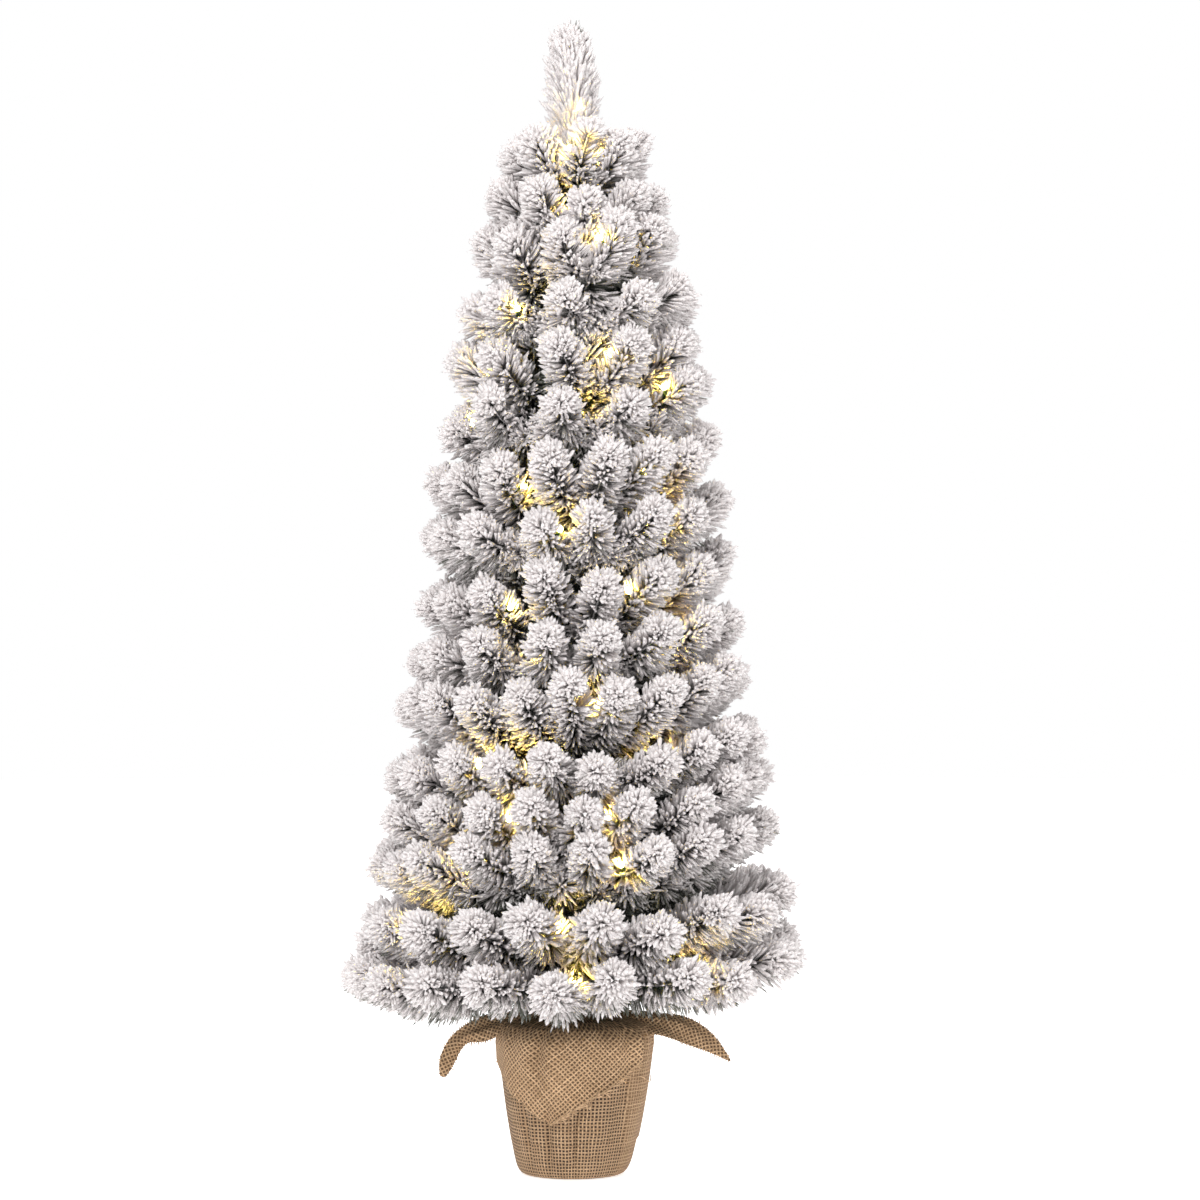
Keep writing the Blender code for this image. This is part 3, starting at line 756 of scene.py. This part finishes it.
def add_needles(batch, path, body, rng, tilts, reach, needle, cap, thin_root=True, lamps=()):
    """Needles along a path, and a cap of them at its end: three-sided clubs, thin and green at the
    root and thick with flock outside."""
    count = body + cap
    spot = np.concatenate((rng.uniform(0, 0.97, body), 1 - CAP_DEPTH * rng.uniform(0, 1, cap) ** 1.5))
    root, direction, tangent = needle_rays(path, spot, body, tilts, rng)
    size = needle_sizes(spot, body, needle, thin_root, rng)
    bend = tangent * 0.06 + rng.normal(0, 0.06, (count, 3))
    bend[:, 2] -= NEEDLE_SAG
    middle = root + direction * size * 0.42
    low = root + direction * size * 0.52 + bend * size * 0.4
    high = root + direction * size * 0.90 + bend * size * 0.8
    end = root + direction * size * 1.0 + bend * size
    snow = flock_and_painted_shade(end, direction, body, reach, rng)
    thick = BARE_RADIUS + (FLOCKED_RADIUS - BARE_RADIUS) * snow * (1 + rng.normal(0, 0.16, count))
    waist = 0.5 * BARE_RADIUS + 0.78 * thick
    across = unit(np.cross(direction, tangent + 0.01))
    deep = np.cross(direction, across)
    angles = [2 * math.pi * corner / NEEDLE_SIDES for corner in range(NEEDLE_SIDES)]
    corners = [math.cos(angle) * across + math.sin(angle) * deep for angle in angles]
    lumps = 1 + rng.uniform(-0.28, 0.28, (2 * NEEDLE_SIDES, count))
    inner, outer = lumps[:NEEDLE_SIDES], lumps[NEEDLE_SIDES:]
    points = [root + direction * size * 0.04]
    points += [low + corner * (waist * lump)[:, None] for corner, lump in zip(corners, inner)]
    points += [high + corner * (thick * lump)[:, None] for corner, lump in zip(corners, outer)]
    points.append(end)
    values = needle_values(snow, body, rng)
    keep = away_from(lamps, middle, end)
    points, values = np.stack(points, 1)[keep], values[keep]
    batch.add(points.reshape(-1, 3), needle_faces(len(points)), values.reshape(-1, 2))


def foliage_piece(name, batch, body, node):
    mesh = batch.mesh(name)
    values = batch.all_values()
    # The flock values carry the flock together with painted shade inside the tree and under the tips.
    for column, label in enumerate(("flock", "shade")):
        attribute = mesh.attributes.new(label, "FLOAT", "POINT")
        attribute.data.foreach_set("value", values[:, column].astype(np.float32))
    layer = mesh.uv_layers.new(name="OFBake")
    places = 0.02 + 0.96 * values[corner_points(mesh)]
    layer.data.foreach_set("uv", places.astype(np.float32).ravel())
    show(name, mesh, NEEDLES, body, "foliage", node)


def wire_piece(name, wires, body):
    show(name + "_wires", wires.mesh(name + "_wires"), WIRE, body, "hub")


def lamp_directions(row):
    """Where this row's lamps are, with as many behind the tree as in front of it."""
    front = [FRONT + turn for turn in LAMP_TURNS[row]]
    return front + [turn + 180 + LAMP_SPREAD_BEHIND * wobble(row, turn) for turn in front]


def turn_between(first, second):
    """Degrees from the second direction to the first, from -180 to 180."""
    return (first - second + 180) % 360 - 180


def claim_lamps(tips):
    """The tips that carry a lamp: each lamp direction goes to the nearest tip of its row."""
    claimed = {}
    for row in range(LAST_ROW + 1):
        turns = [tip_turn(curve) for r, curve in tips if r == row]
        for lamp in lamp_directions(row):
            nearest = min(turns, key=lambda turn: abs(turn_between(turn, lamp)))
            side = 1 if turn_between(lamp, nearest) > 0 else -1
            claimed.setdefault((row, round(nearest, 3)), side)
    return claimed


def lamp_place(row, curve, side):
    """Foot and direction of a lamp that stands out of a tip's flank, and its lead's way there."""
    path = tip_path(curve)
    at = int((0.70 + 0.10 * wobble(row, tip_turn(curve), 5)) * (len(path) - 1))
    tangent = Vector(path[-1] - path[-6]).normalized()
    across = Vector((0, 0, 1)).cross(tangent).normalized()
    rise = 0.35 + 0.35 * wobble(row, tip_turn(curve), 7)
    facing = (tangent * 0.55 + across * side * 0.80 + Vector((0, 0, rise))).normalized()
    return path[: at + 1], np.array(Vector(path[at]) + facing * LAMP_GAP), np.array(facing)


def add_lamp(holders, bulbs, lead, foot, direction):
    """A holder standing at foot, its bulb, and the lead that runs to it along the stem."""
    sweep(holders, [foot + direction * at for at, _ in HOLDER_SHAPE], [r for _, r in HOLDER_SHAPE], 10)
    radii = [BULB_RADIUS * share for _, share in BULB_SHAPE]
    sweep(bulbs, [foot + direction * at for at, _ in BULB_SHAPE], radii, 10)
    twisted(holders, lead + np.array((0, 0, -LEAD_DROP)), LEAD_RADIUS, LEAD_TURNS_PER_METRE, 4)


def show_lamps(name, holders, bulbs, material, body):
    show(name + "_lamp_holders", holders.mesh(name + "_lamp_holders"), WIRE, body, "wire")
    show(name + "_lamps", bulbs.mesh(name + "_lamps"), material, body, "wire")


def add_tips(body, name, foliage, tips, seed):
    """Brushes on their wire stems, and the lamps among them."""
    holders, bulbs, lamps = Batch(), Batch(), []
    for row, curve in tips:
        side = LAMP_SIDES.get((row, round(tip_turn(curve), 3)))
        if side is not None:
            lead, foot, facing = lamp_place(row, curve, side)
            add_lamp(holders, bulbs, lead, foot, facing)
            outward = np.array((facing[0], facing[1], facing[2] * 0.4))
            lamps.append((foot + facing * BULB_MIDDLE, outward / np.linalg.norm(outward)))
    for number, (row, curve) in enumerate(tips):
        path, reach = tip_path(curve), row_reach(row)
        rng = np.random.default_rng(seed + number)
        count = int(step_lengths(path).sum() * NEEDLES_PER_METRE)
        needle = LOW_ROWS_NEEDLE if row < LOW_ROWS else NEEDLE
        tilts = (ROOT_TILT, END_TILT)
        add_needles(foliage, path, count, rng, tilts, reach, needle, CAP_NEEDLES, lamps=lamps)
        stem = path[::3]
        sweep(foliage, stem, np.linspace(*STEM_RADII, len(stem)), 5, reach)
    if lamps:
        material = LOW_BULB if tips[0][0] < LOW_LAMP_ROWS else BULB
        show_lamps(name, holders, bulbs, material, body)


def row_gap(row):
    """Height midway between this row and the next one."""
    return (row_height(row) + row_height(min(row + 1, LAST_ROW))) / 2


def inner_twigs(level, spray):
    """Short inner twigs that close the space between this spray and those above and below it."""
    start = spray_start(level, spray)
    turn = math.degrees(math.atan2(start.y, start.x))
    twigs = []
    lower, upper = 2 * level, 2 * level + 1
    # Row, height, number of twigs, and their share of the row's reach.
    plans = [(upper, row_gap(upper), 4, 0.66), (lower, row_gap(lower), 3, 0.58)]
    if level:
        plans.append((lower, row_gap(lower - 1), 5, 0.71))
    for plan, (row, z, count, share) in enumerate(plans):
        for number in range(count):
            offset = (number - (count - 1) / 2) * SECTOR / count
            offset += 3 * wobble(level, spray, plan, number)
            radius = row_reach(row) * (share + 0.06 * wobble(number, plan, spray, level))
            lift = side_lift(row, turn + offset) * share + 0.004 * wobble(plan, number, level, spray)
            end = polar(radius, turn + offset, z + lift)
            bend = start.lerp(end, 0.45)
            bend.z += (end.z - start.z) * 0.25
            twigs.append((row, (start, bend, end)))
    return twigs


def add_twigs(foliage, level, spray):
    for number, (row, curve) in enumerate(inner_twigs(level, spray)):
        path = stem_path(curve, 24)
        rng = np.random.default_rng(20000 + 1000 * level + 100 * spray + number)
        count = int(step_lengths(path).sum() * NEEDLES_PER_METRE * TWIG_NEEDLES)
        reach = row_reach(row) * TWIG_REACH
        add_needles(foliage, path, count, rng, TWIG_TILTS, reach, TWIG_NEEDLE, TWIG_CAP)
        sweep(foliage, path[::3], TWIG_RADIUS, 5, row_reach(row))


def add_hook(wires, eye, axis, out):
    """Two rings of wire, side by side round a hinge pin."""
    up = axis.cross(out)
    ring = []
    for i in range(15):
        angle = math.radians(-18 + 336 * i / 14)
        ring.append(eye + (math.cos(angle) * out + math.sin(angle) * up) * HOOK_RADIUS)
    for offset in (-HOOK_GAP, HOOK_GAP):
        sweep(wires, [point + axis * offset for point in ring], HOOK_WIRE, 6)


def make_spray(level, spray):
    name = f"spray_{level + 1}_{spray + 1}"
    hinge = spray_hinge(level, spray)
    eye, start = Vector(hinge["pos_m"]), spray_start(level, spray)
    foliage, wires = Batch(), Batch()
    add_tips(name, name, foliage, spray_tips(level, spray), 1000 * level + 100 * spray)
    add_twigs(foliage, level, spray)
    out = (start - eye).normalized()
    arm = np.array([eye + out * 0.0030 + (start - eye) * 0.92 * i / 9 for i in range(10)])
    rng = np.random.default_rng(7000 + 10 * level + spray)
    reach = row_reach(2 * level)
    add_needles(foliage, arm[3:], ARM_NEEDLES, rng, ARM_TILTS, reach, NEEDLE, 0, False)
    twisted(wires, arm, HOOK_WIRE, ARM_TURNS_PER_METRE)
    add_hook(wires, eye, Vector(hinge["axis"]), out)
    foliage_piece(name + "_needles", foliage, name, name)
    wire_piece(name, wires, name)


def make_crown(ring):
    name = f"crown_ring_{ring + 1}"
    foliage, wires = Batch(), Batch()
    tips = crown_tips(ring)
    add_tips("upper_tree", name, foliage, tips, 8000 + 100 * ring)
    middle = tips[0][1][0].z
    collar = [Vector((0, 0, middle + step)) for step, _ in COLLAR_SHAPE]
    sweep(wires, collar, [radius for _, radius in COLLAR_SHAPE], 24)
    foliage_piece(name + "_needles", foliage, "upper_tree", name)
    wire_piece(name, wires, "upper_tree")


def make_leader():
    """The top tip: a wire stem with needles swept steeply upwards, and one lamp at its foot."""
    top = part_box("leader_tip")[1].z - LEADER_TOP_GAP
    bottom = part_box("upper_trunk")[1].z - LEADER_PLUG
    share = np.linspace(0, 1, 40)
    path = np.stack((LEADER_LEAN * share**2, 0 * share, bottom + (top - bottom) * share), 1)
    foliage, wires = Batch(), Batch()
    rng = np.random.default_rng(9000)
    tilts, cap = LEADER_TILTS, LEADER_CAP
    add_needles(foliage, path, LEADER_NEEDLES, rng, tilts, LEADER_REACH, LEADER_NEEDLE, cap, False)
    sweep(wires, path[::3], LEADER_WIRE, 6)
    holders, bulbs = Batch(), Batch()
    facing = unit(np.array(LEADER_LAMP_FACING))
    add_lamp(holders, bulbs, path[:18], np.array(LEADER_LAMP_FOOT), facing)
    show_lamps("leader", holders, bulbs, BULB, "upper_tree")
    foliage_piece("leader_needles", foliage, "upper_tree", "leader_tip")
    wire_piece("leader", wires, "upper_tree")


# The burlap.


def rim_height():
    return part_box("pot_shell")[1].z


def wrap_outline():
    """(radius, z) down the wrap's side, from the neck to the middle of its underside."""
    rim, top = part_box("pot_shell")[1].x + 0.0016, rim_height()
    return [
        (NECK_RADIUS + 0.010, top + 0.032),
        (NECK_RADIUS + 0.003, top + 0.027),
        (NECK_RADIUS, top + 0.022),
        (NECK_RADIUS + 0.005, top + 0.016),
        (rim - 0.022, top + 0.0105),
        (rim - 0.004, top + 0.0045),
        (rim + 0.0025, top - 0.004),
        (rim + 0.0040, top - 0.014),
        (rim + 0.0025, top - 0.035),
        (rim - 0.0006, top * 0.60),
        (BASE_RADIUS + (rim - BASE_RADIUS) * 0.63, top * 0.32),
        (BASE_RADIUS + 0.0062, 0.019),
        (BASE_RADIUS + 0.0030, 0.008),
        (BASE_RADIUS - 0.001, 0.0022),
        (BASE_RADIUS - 0.006, CLOTH / 2 + 0.0002),
        (0.004, CLOTH / 2 + 0.0002),
    ]


def spread_along(points, count):
    """Points evenly spaced along an outline, rounded at its corners, and how far along they are."""
    outline = np.array(points)
    for _ in range(2):
        first, second = outline[:-1], outline[1:]
        cut = np.stack((first * 0.75 + second * 0.25, first * 0.25 + second * 0.75), 1).reshape(-1, 2)
        outline = np.concatenate((outline[:1], cut, outline[-1:]))
    length = distances(outline)
    places = np.linspace(0, length[-1], count)
    return points_at(places, length, outline), places


def bell(value, middle, width):
    return np.exp(-(((value - middle) / width) ** 2))


def overlap(turn, z, top):
    """1 where the cloth lies double, right of an edge that runs down the wrap, and 0 left of it."""
    edge = 45 + 60 * np.clip(top - 0.035 - z, 0, 1)
    return 1 / (1 + np.exp(-np.clip((turn - edge) / 0.8, -30, 30)))


def turn_from_front(angle):
    """Degrees from the front, to the right, of an angle from +X."""
    return (np.degrees(angle) + 90 + 180) % 360 - 180


def folds(angle, z, top):
    """How far the cloth stands out of its plain shape: gathers near the neck, folds below."""
    turn = turn_from_front(angle)
    gather = np.clip((z - (top - 0.026)) / 0.030, 0, 1)
    pleat = np.sin(PLEATS * angle + 1.6 * np.sin(3 * angle)) * (0.0022 * gather)
    soft = 0.0009 * np.sin(5 * angle + 14 * z) + 0.0006 * np.sin(9 * angle + 1.3 - 22 * z)
    below = np.clip((top - 0.060 - z) / 0.030, 0, 1)
    roll = sum(depth * bell(turn, middle, width) for depth, middle, width in LONG_FOLDS)
    lap = 0.0036 * overlap(turn, z, top) * np.clip((LAP_END - turn) / 55, 0, 1)
    back_lap = 0.0020 * bell(turn, -140, 5.0)
    calm = np.clip(z / 0.035, 0, 1)
    return pleat + (soft + lap + back_lap + roll * below) * calm


def sagged(radius, angle, z):
    """The points at these radii, angles and heights, with the wrap's lean to the left."""
    sag = WRAP_SAG * np.clip(1 - z / rim_height(), 0, 1)
    z = np.broadcast_to(z, radius.shape)
    return np.stack((radius * np.cos(angle) + sag, radius * np.sin(angle), z), -1)


def grid_sheet(name, points, weave, material):
    """A cloth sheet from a grid of points, with its weave's coordinates in metres."""
    rows, across = points.shape[:2]
    here = (np.arange(rows - 1)[:, None] * across + np.arange(across - 1)[None]).ravel()
    faces = np.stack((here, here + 1, here + across + 1, here + across), 1)
    mesh = bpy.data.meshes.new(name)
    mesh.from_pydata(points.reshape(-1, 3).tolist(), [], faces.tolist())
    layer = mesh.uv_layers.new(name="weave")
    places = weave.reshape(-1, 2)[corner_points(mesh)]
    layer.data.foreach_set("uv", places.astype(np.float32).ravel())
    mesh.shade_smooth()
    obj = show(name, mesh, material, "pot", "burlap")
    solid = obj.modifiers.new("thickness", "SOLIDIFY")
    solid.thickness = CLOTH
    solid.offset = 0
    return obj


def make_wrap():
    top = rim_height()
    outline, places = spread_along(wrap_outline(), WRAP_ROWS)
    plain, z = outline[:, :1], outline[:, 1:]
    angles = np.linspace(-math.pi, math.pi, 289)[None]
    radius = plain + folds(angles, z, top)
    under = slice(-BASE_ROWS, None)
    radius[under] = np.minimum(radius[under], np.maximum(plain[under] + 0.001, 0))
    weave = np.stack(np.broadcast_arrays(angles * WRAP_MEAN_RADIUS, -places[:, None]), -1)
    wrap = grid_sheet("burlap_cloth", sagged(radius, angles, z), weave, BURLAP_SHADED)
    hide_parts("burlap_wrap")
    turn = turn_from_front(angles)
    double = overlap(turn, z, top) * (turn < LAP_END)
    wrap.data.attributes.new("backed", "FLOAT", "POINT").data.foreach_set("value", double.ravel())
    return wrap


def wrap_radius(angle, z):
    """The wrap's radius at an angle and a height."""
    side = np.array(wrap_outline()[:13])
    return np.interp(z, side[::-1, 1], side[::-1, 0]) + folds(angle, z, rim_height())


def add_fringe(batch, edge, inwards, seed, spacing, length):
    """Frayed thread ends along an edge of the cloth."""
    rng = np.random.default_rng(seed)
    along_edge = distances(edge)
    places = np.arange(spacing, along_edge[-1], spacing)
    roots = points_at(places, along_edge, edge)
    inner = points_at(places, along_edge, inwards)
    for root, inside in zip(roots, inner):
        out = unit(root - inside)
        radial = unit(root * (1, 1, 0))
        out = unit(out - FRINGE_FLAT * (out @ radial) * radial) + rng.normal(0, 0.24, 3)
        reach = length * rng.uniform(0.35, 1.15)
        curl = rng.normal(0, 0.35, 3)
        path = [root + out * reach * (s - 0.25) + curl * reach * s * s for s in np.linspace(0, 1, 5)]
        sweep(batch, path, np.linspace(*FRINGE_RADII, 5), 4)


def corner_piece(name, points, flat, bias, fringes):
    """A corner's cloth, its threads on the bias, with frayed edges. A fringe is its seed, its
    threads' spacing and their length, on the right edge first."""
    angle = math.radians(bias)
    turn = np.array(((math.cos(angle), -math.sin(angle)), (math.sin(angle), math.cos(angle))))
    sheet = grid_sheet(name, points, flat @ turn, BURLAP_CORNER_LIT)
    batch = Batch()
    for (edge, inside), fringe in zip(((-1, -4), (0, 3)), fringes):
        add_fringe(batch, points[FRINGE_FROM:, edge], points[FRINGE_FROM:, inside], *fringe)
    edging = show(name + "_fringe", batch.mesh(name + "_fringe"), FIBRE, "pot", "burlap")
    return sheet, edging


def make_hanging_corner(name, left, right, tip, tip_z, valley):
    """A corner of the cloth folded down over the wrap, as a V whose threads run on the bias."""
    top = rim_height()
    upper = top - 0.030
    over_rim, down_side = np.linspace(top + 0.012, top, 7), np.linspace(top, upper, 9)
    heights = np.concatenate((over_rim[:-1], down_side[:-1], np.linspace(upper, tip_z, 26)))
    share = np.linspace(0, 1, 49)
    rows = []
    for z in heights:
        down = min(1.0, max(0.0, (upper - z) / (upper - tip_z)))
        low = left + (tip - left) * down * 0.985
        high = right + (tip - right) * down * 0.985
        rows.append(np.radians(FRONT + low + (high - low) * share))
    angle = np.array(rows)
    z = np.broadcast_to(heights[:, None], angle.shape)
    across = np.degrees(angle) - FRONT
    lift = np.clip((top + 0.010 - z) / 0.018, 0, 1)
    upper_part = np.clip((z - (top - 0.062)) / 0.045, 0, 1)
    dip = -0.0030 * bell(across, valley, 3.4) * upper_part
    crests = 0.0080 * bell(across, valley + 10, 6.0) + 0.0064 * bell(across, valley - 10, 6.0)
    ripple = 0.0008 * np.sin(across / 6.5 + 30 * z)
    curl = 0.0056 * np.clip(share[None] * 4 - 3, 0, 1) ** 2
    proud = FLAP_LIFT + dip + crests * upper_part + ripple + curl
    radius = wrap_radius(angle, z) + 0.0004 + proud * lift
    flat = np.stack((FLAP_RADIUS * angle, z), -1)
    fringes = ((51, 0.0016, 0.0080), (52, 0.0026, 0.0026))
    return corner_piece(name, sagged(radius, angle, z), flat, FLAP_BIAS, fringes)


def make_flying_corner(name, stations, seed):
    """A corner that stands out sideways, along the stations of its table."""
    knots = np.array(stations)
    knots[:, 2] += rim_height()
    length = distances(knots[:, :3])
    places = np.linspace(0, length[-1], 56)
    fine = points_at(places, length, knots)
    for _ in range(10):
        fine[1:-1] = (fine[:-2] + 2 * fine[1:-1] + fine[2:]) / 4
    path, half, tilt = fine[:, :3], fine[:, 3], np.radians(fine[:, 4])
    share = np.linspace(-1, 1, 25)
    run = places / places[-1]
    face = np.stack((0 * tilt, -np.cos(tilt), np.sin(tilt)), 1)
    tangent = unit(np.gradient(path, axis=0))
    width = unit(np.cross(face, tangent))
    normal = unit(np.cross(tangent, width))
    wave = 0.0016 * np.sin(4.6 * share[None] + 9 * run[:, None] + seed)
    ridge = 0.0026 * bell(share[None], 0.25, 0.2) * (1 - run[:, None])
    droop = 0.10 * half[:, None] * np.abs(share[None]) ** 1.6
    points = path[:, None] + width[:, None] * (half[:, None] * share[None])[..., None]
    points = points + normal[:, None] * ((wave * half[:, None] / half.max()) + ridge - droop)[..., None]
    flat = np.stack(np.broadcast_arrays(places[:, None], half[:, None] * share[None]), -1)
    fringes = ((60 + seed, 0.0026, 0.0030), (70 + seed, 0.0026, 0.0030))
    return corner_piece(name, points, flat, FLYING_BIAS, fringes)


def make_twine():
    """Two turns of twisted twine round the neck, with the knot's loose ends."""
    low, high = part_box("twine_tie")
    middle = (low.z + high.z) / 2
    turn = np.linspace(0, 4 * math.pi, 140)
    z = middle - 0.0012 + 0.0024 * turn / turn[-1]
    twine = Batch()
    turns = np.stack((TWINE_RADIUS * np.cos(turn), TWINE_RADIUS * np.sin(turn), z), 1)
    twisted(twine, turns, 0.00075, TWINE_TURNS_PER_METRE, 6)
    share = np.linspace(0, 1, 12)
    for end, fall in ((1, 0.020), (-1, 0.015)):
        x = TWINE_RADIUS + 0.003 + 0.010 * share
        tail = np.stack((x, end * 0.012 * share, middle - fall * share**1.6 + 0.002), 1)
        twisted(twine, tail, 0.0006, TWINE_TURNS_PER_METRE, 5)
    show("twine", twine.mesh("twine"), FIBRE, "pot", "twine", "twine_tie")


def make_loose_thread():
    """A pulled thread that stands out of the wrap's right side."""
    path = []
    for share in np.linspace(0, 1, 9):
        angle = math.radians(-36 + 24 * share)
        z = 0.104 + 0.004 * math.cos(5 * share)
        radius = float(wrap_radius(angle, z)) + 0.0012 + 0.003 * math.sin(math.pi * share)
        path.append((radius * math.cos(angle), radius * math.sin(angle), z))
    thread = Batch()
    sweep(thread, path, 0.0005, 5)
    show("loose_thread", thread.mesh("loose_thread"), FIBRE, "pot", "burlap")


def make_burlap():
    wrap = make_wrap()
    front = make_hanging_corner("burlap_corner_front", -92, 52, -19, 0.060, -27)
    back = make_hanging_corner("burlap_corner_back", 128, 236, 186, 0.072, 190)
    left = make_flying_corner("burlap_corner_left", LEFT_CORNER, 1)
    right = make_flying_corner("burlap_corner_right", RIGHT_CORNER, 2)
    make_twine()
    make_loose_thread()


# The CAD nodes that stay.


def finish_cad_nodes():
    looks = {"hinge_hub": HUB, "lower_trunk": TRUNK, "upper_trunk": TRUNK, "pot_shell": POT}
    looks.update({"trunk_socket": POT, "ballast": CEMENT, "light_wire": WIRE, "string_": WIRE})
    for name, node in frame["nodes"].items():
        for start, material in looks.items():
            if name.startswith(start):
                node.data.materials.clear()
                node.data.materials.append(material)


# The studio.


def make_stage():
    """A pale floor that glows a little, and white surroundings."""
    floor = Nodes("studio_floor", 0.9)
    floor.colour(floor.mix(floor.noise(3.0), (0.88, 0.88, 0.88), (0.90, 0.90, 0.90)))
    floor.glow((1, 1, 1), FLOOR_GLOW)
    bpy.ops.mesh.primitive_circle_add(
        vertices=96, radius=FLOOR_RADIUS, fill_type="NGON", location=(0, 0, FLOOR_Z)
    )
    plane = bpy.context.object
    plane.name = "studio_floor"
    plane.data.materials.append(floor.material)
    world = bpy.data.worlds.new("studio")
    bpy.context.scene.world = world
    world.use_nodes = True
    tree = world.node_tree
    background = tree.nodes["Background"]
    background.inputs["Color"].default_value = (1, 1, 1, 1)
    path = tree.nodes.new("ShaderNodeLightPath")
    level = tree.nodes.new("ShaderNodeMapRange")
    level.inputs["To Min"].default_value = WORLD_LIGHT
    level.inputs["To Max"].default_value = 1.0
    tree.links.new(path.outputs["Is Camera Ray"], level.inputs["Value"])
    tree.links.new(level.outputs["Result"], background.inputs["Strength"])
    bpy.context.scene.view_settings.view_transform = "Standard"
    bpy.context.scene.view_settings.look = "None"


def link_new(name, data, place):
    """A new light or camera in the scene."""
    made = bpy.data.objects.new(name, data)
    bpy.context.scene.collection.objects.link(made)
    made.location = place
    return made


def make_lights():
    for name, place, size, power in LIGHTS:
        data = bpy.data.lights.new(name, "AREA")
        data.size = size
        data.energy = power
        light = link_new(name, data, place)
        to_target = Vector(LIGHT_TARGET) - Vector(place)
        light.rotation_euler = to_target.to_track_quat("-Z", "Y").to_euler()


def make_camera():
    data = bpy.data.cameras.new("camera")
    data.sensor_width = 36
    data.lens = CAMERA_LENS
    data.clip_end = 60
    camera = link_new("camera", data, CAMERA_PLACE)
    camera.rotation_euler = (math.radians(90), 0, 0)
    bpy.context.scene.camera = camera


def all_tips():
    tips = []
    for level, spray in SPRAYS:
        tips += spray_tips(level, spray)
    for ring in RINGS:
        tips += crown_tips(ring)
    return tips


for old in [o for o in bpy.data.objects if o.name in ("Cube", "Light", "Camera")]:
    bpy.data.objects.remove(old)

make_camera()
make_stage()
make_lights()
finish_cad_nodes()

LAMP_SIDES = claim_lamps(all_tips())
for level, spray in SPRAYS:
    make_spray(level, spray)
for ring in RINGS:
    make_crown(ring)
make_leader()
make_burlap()
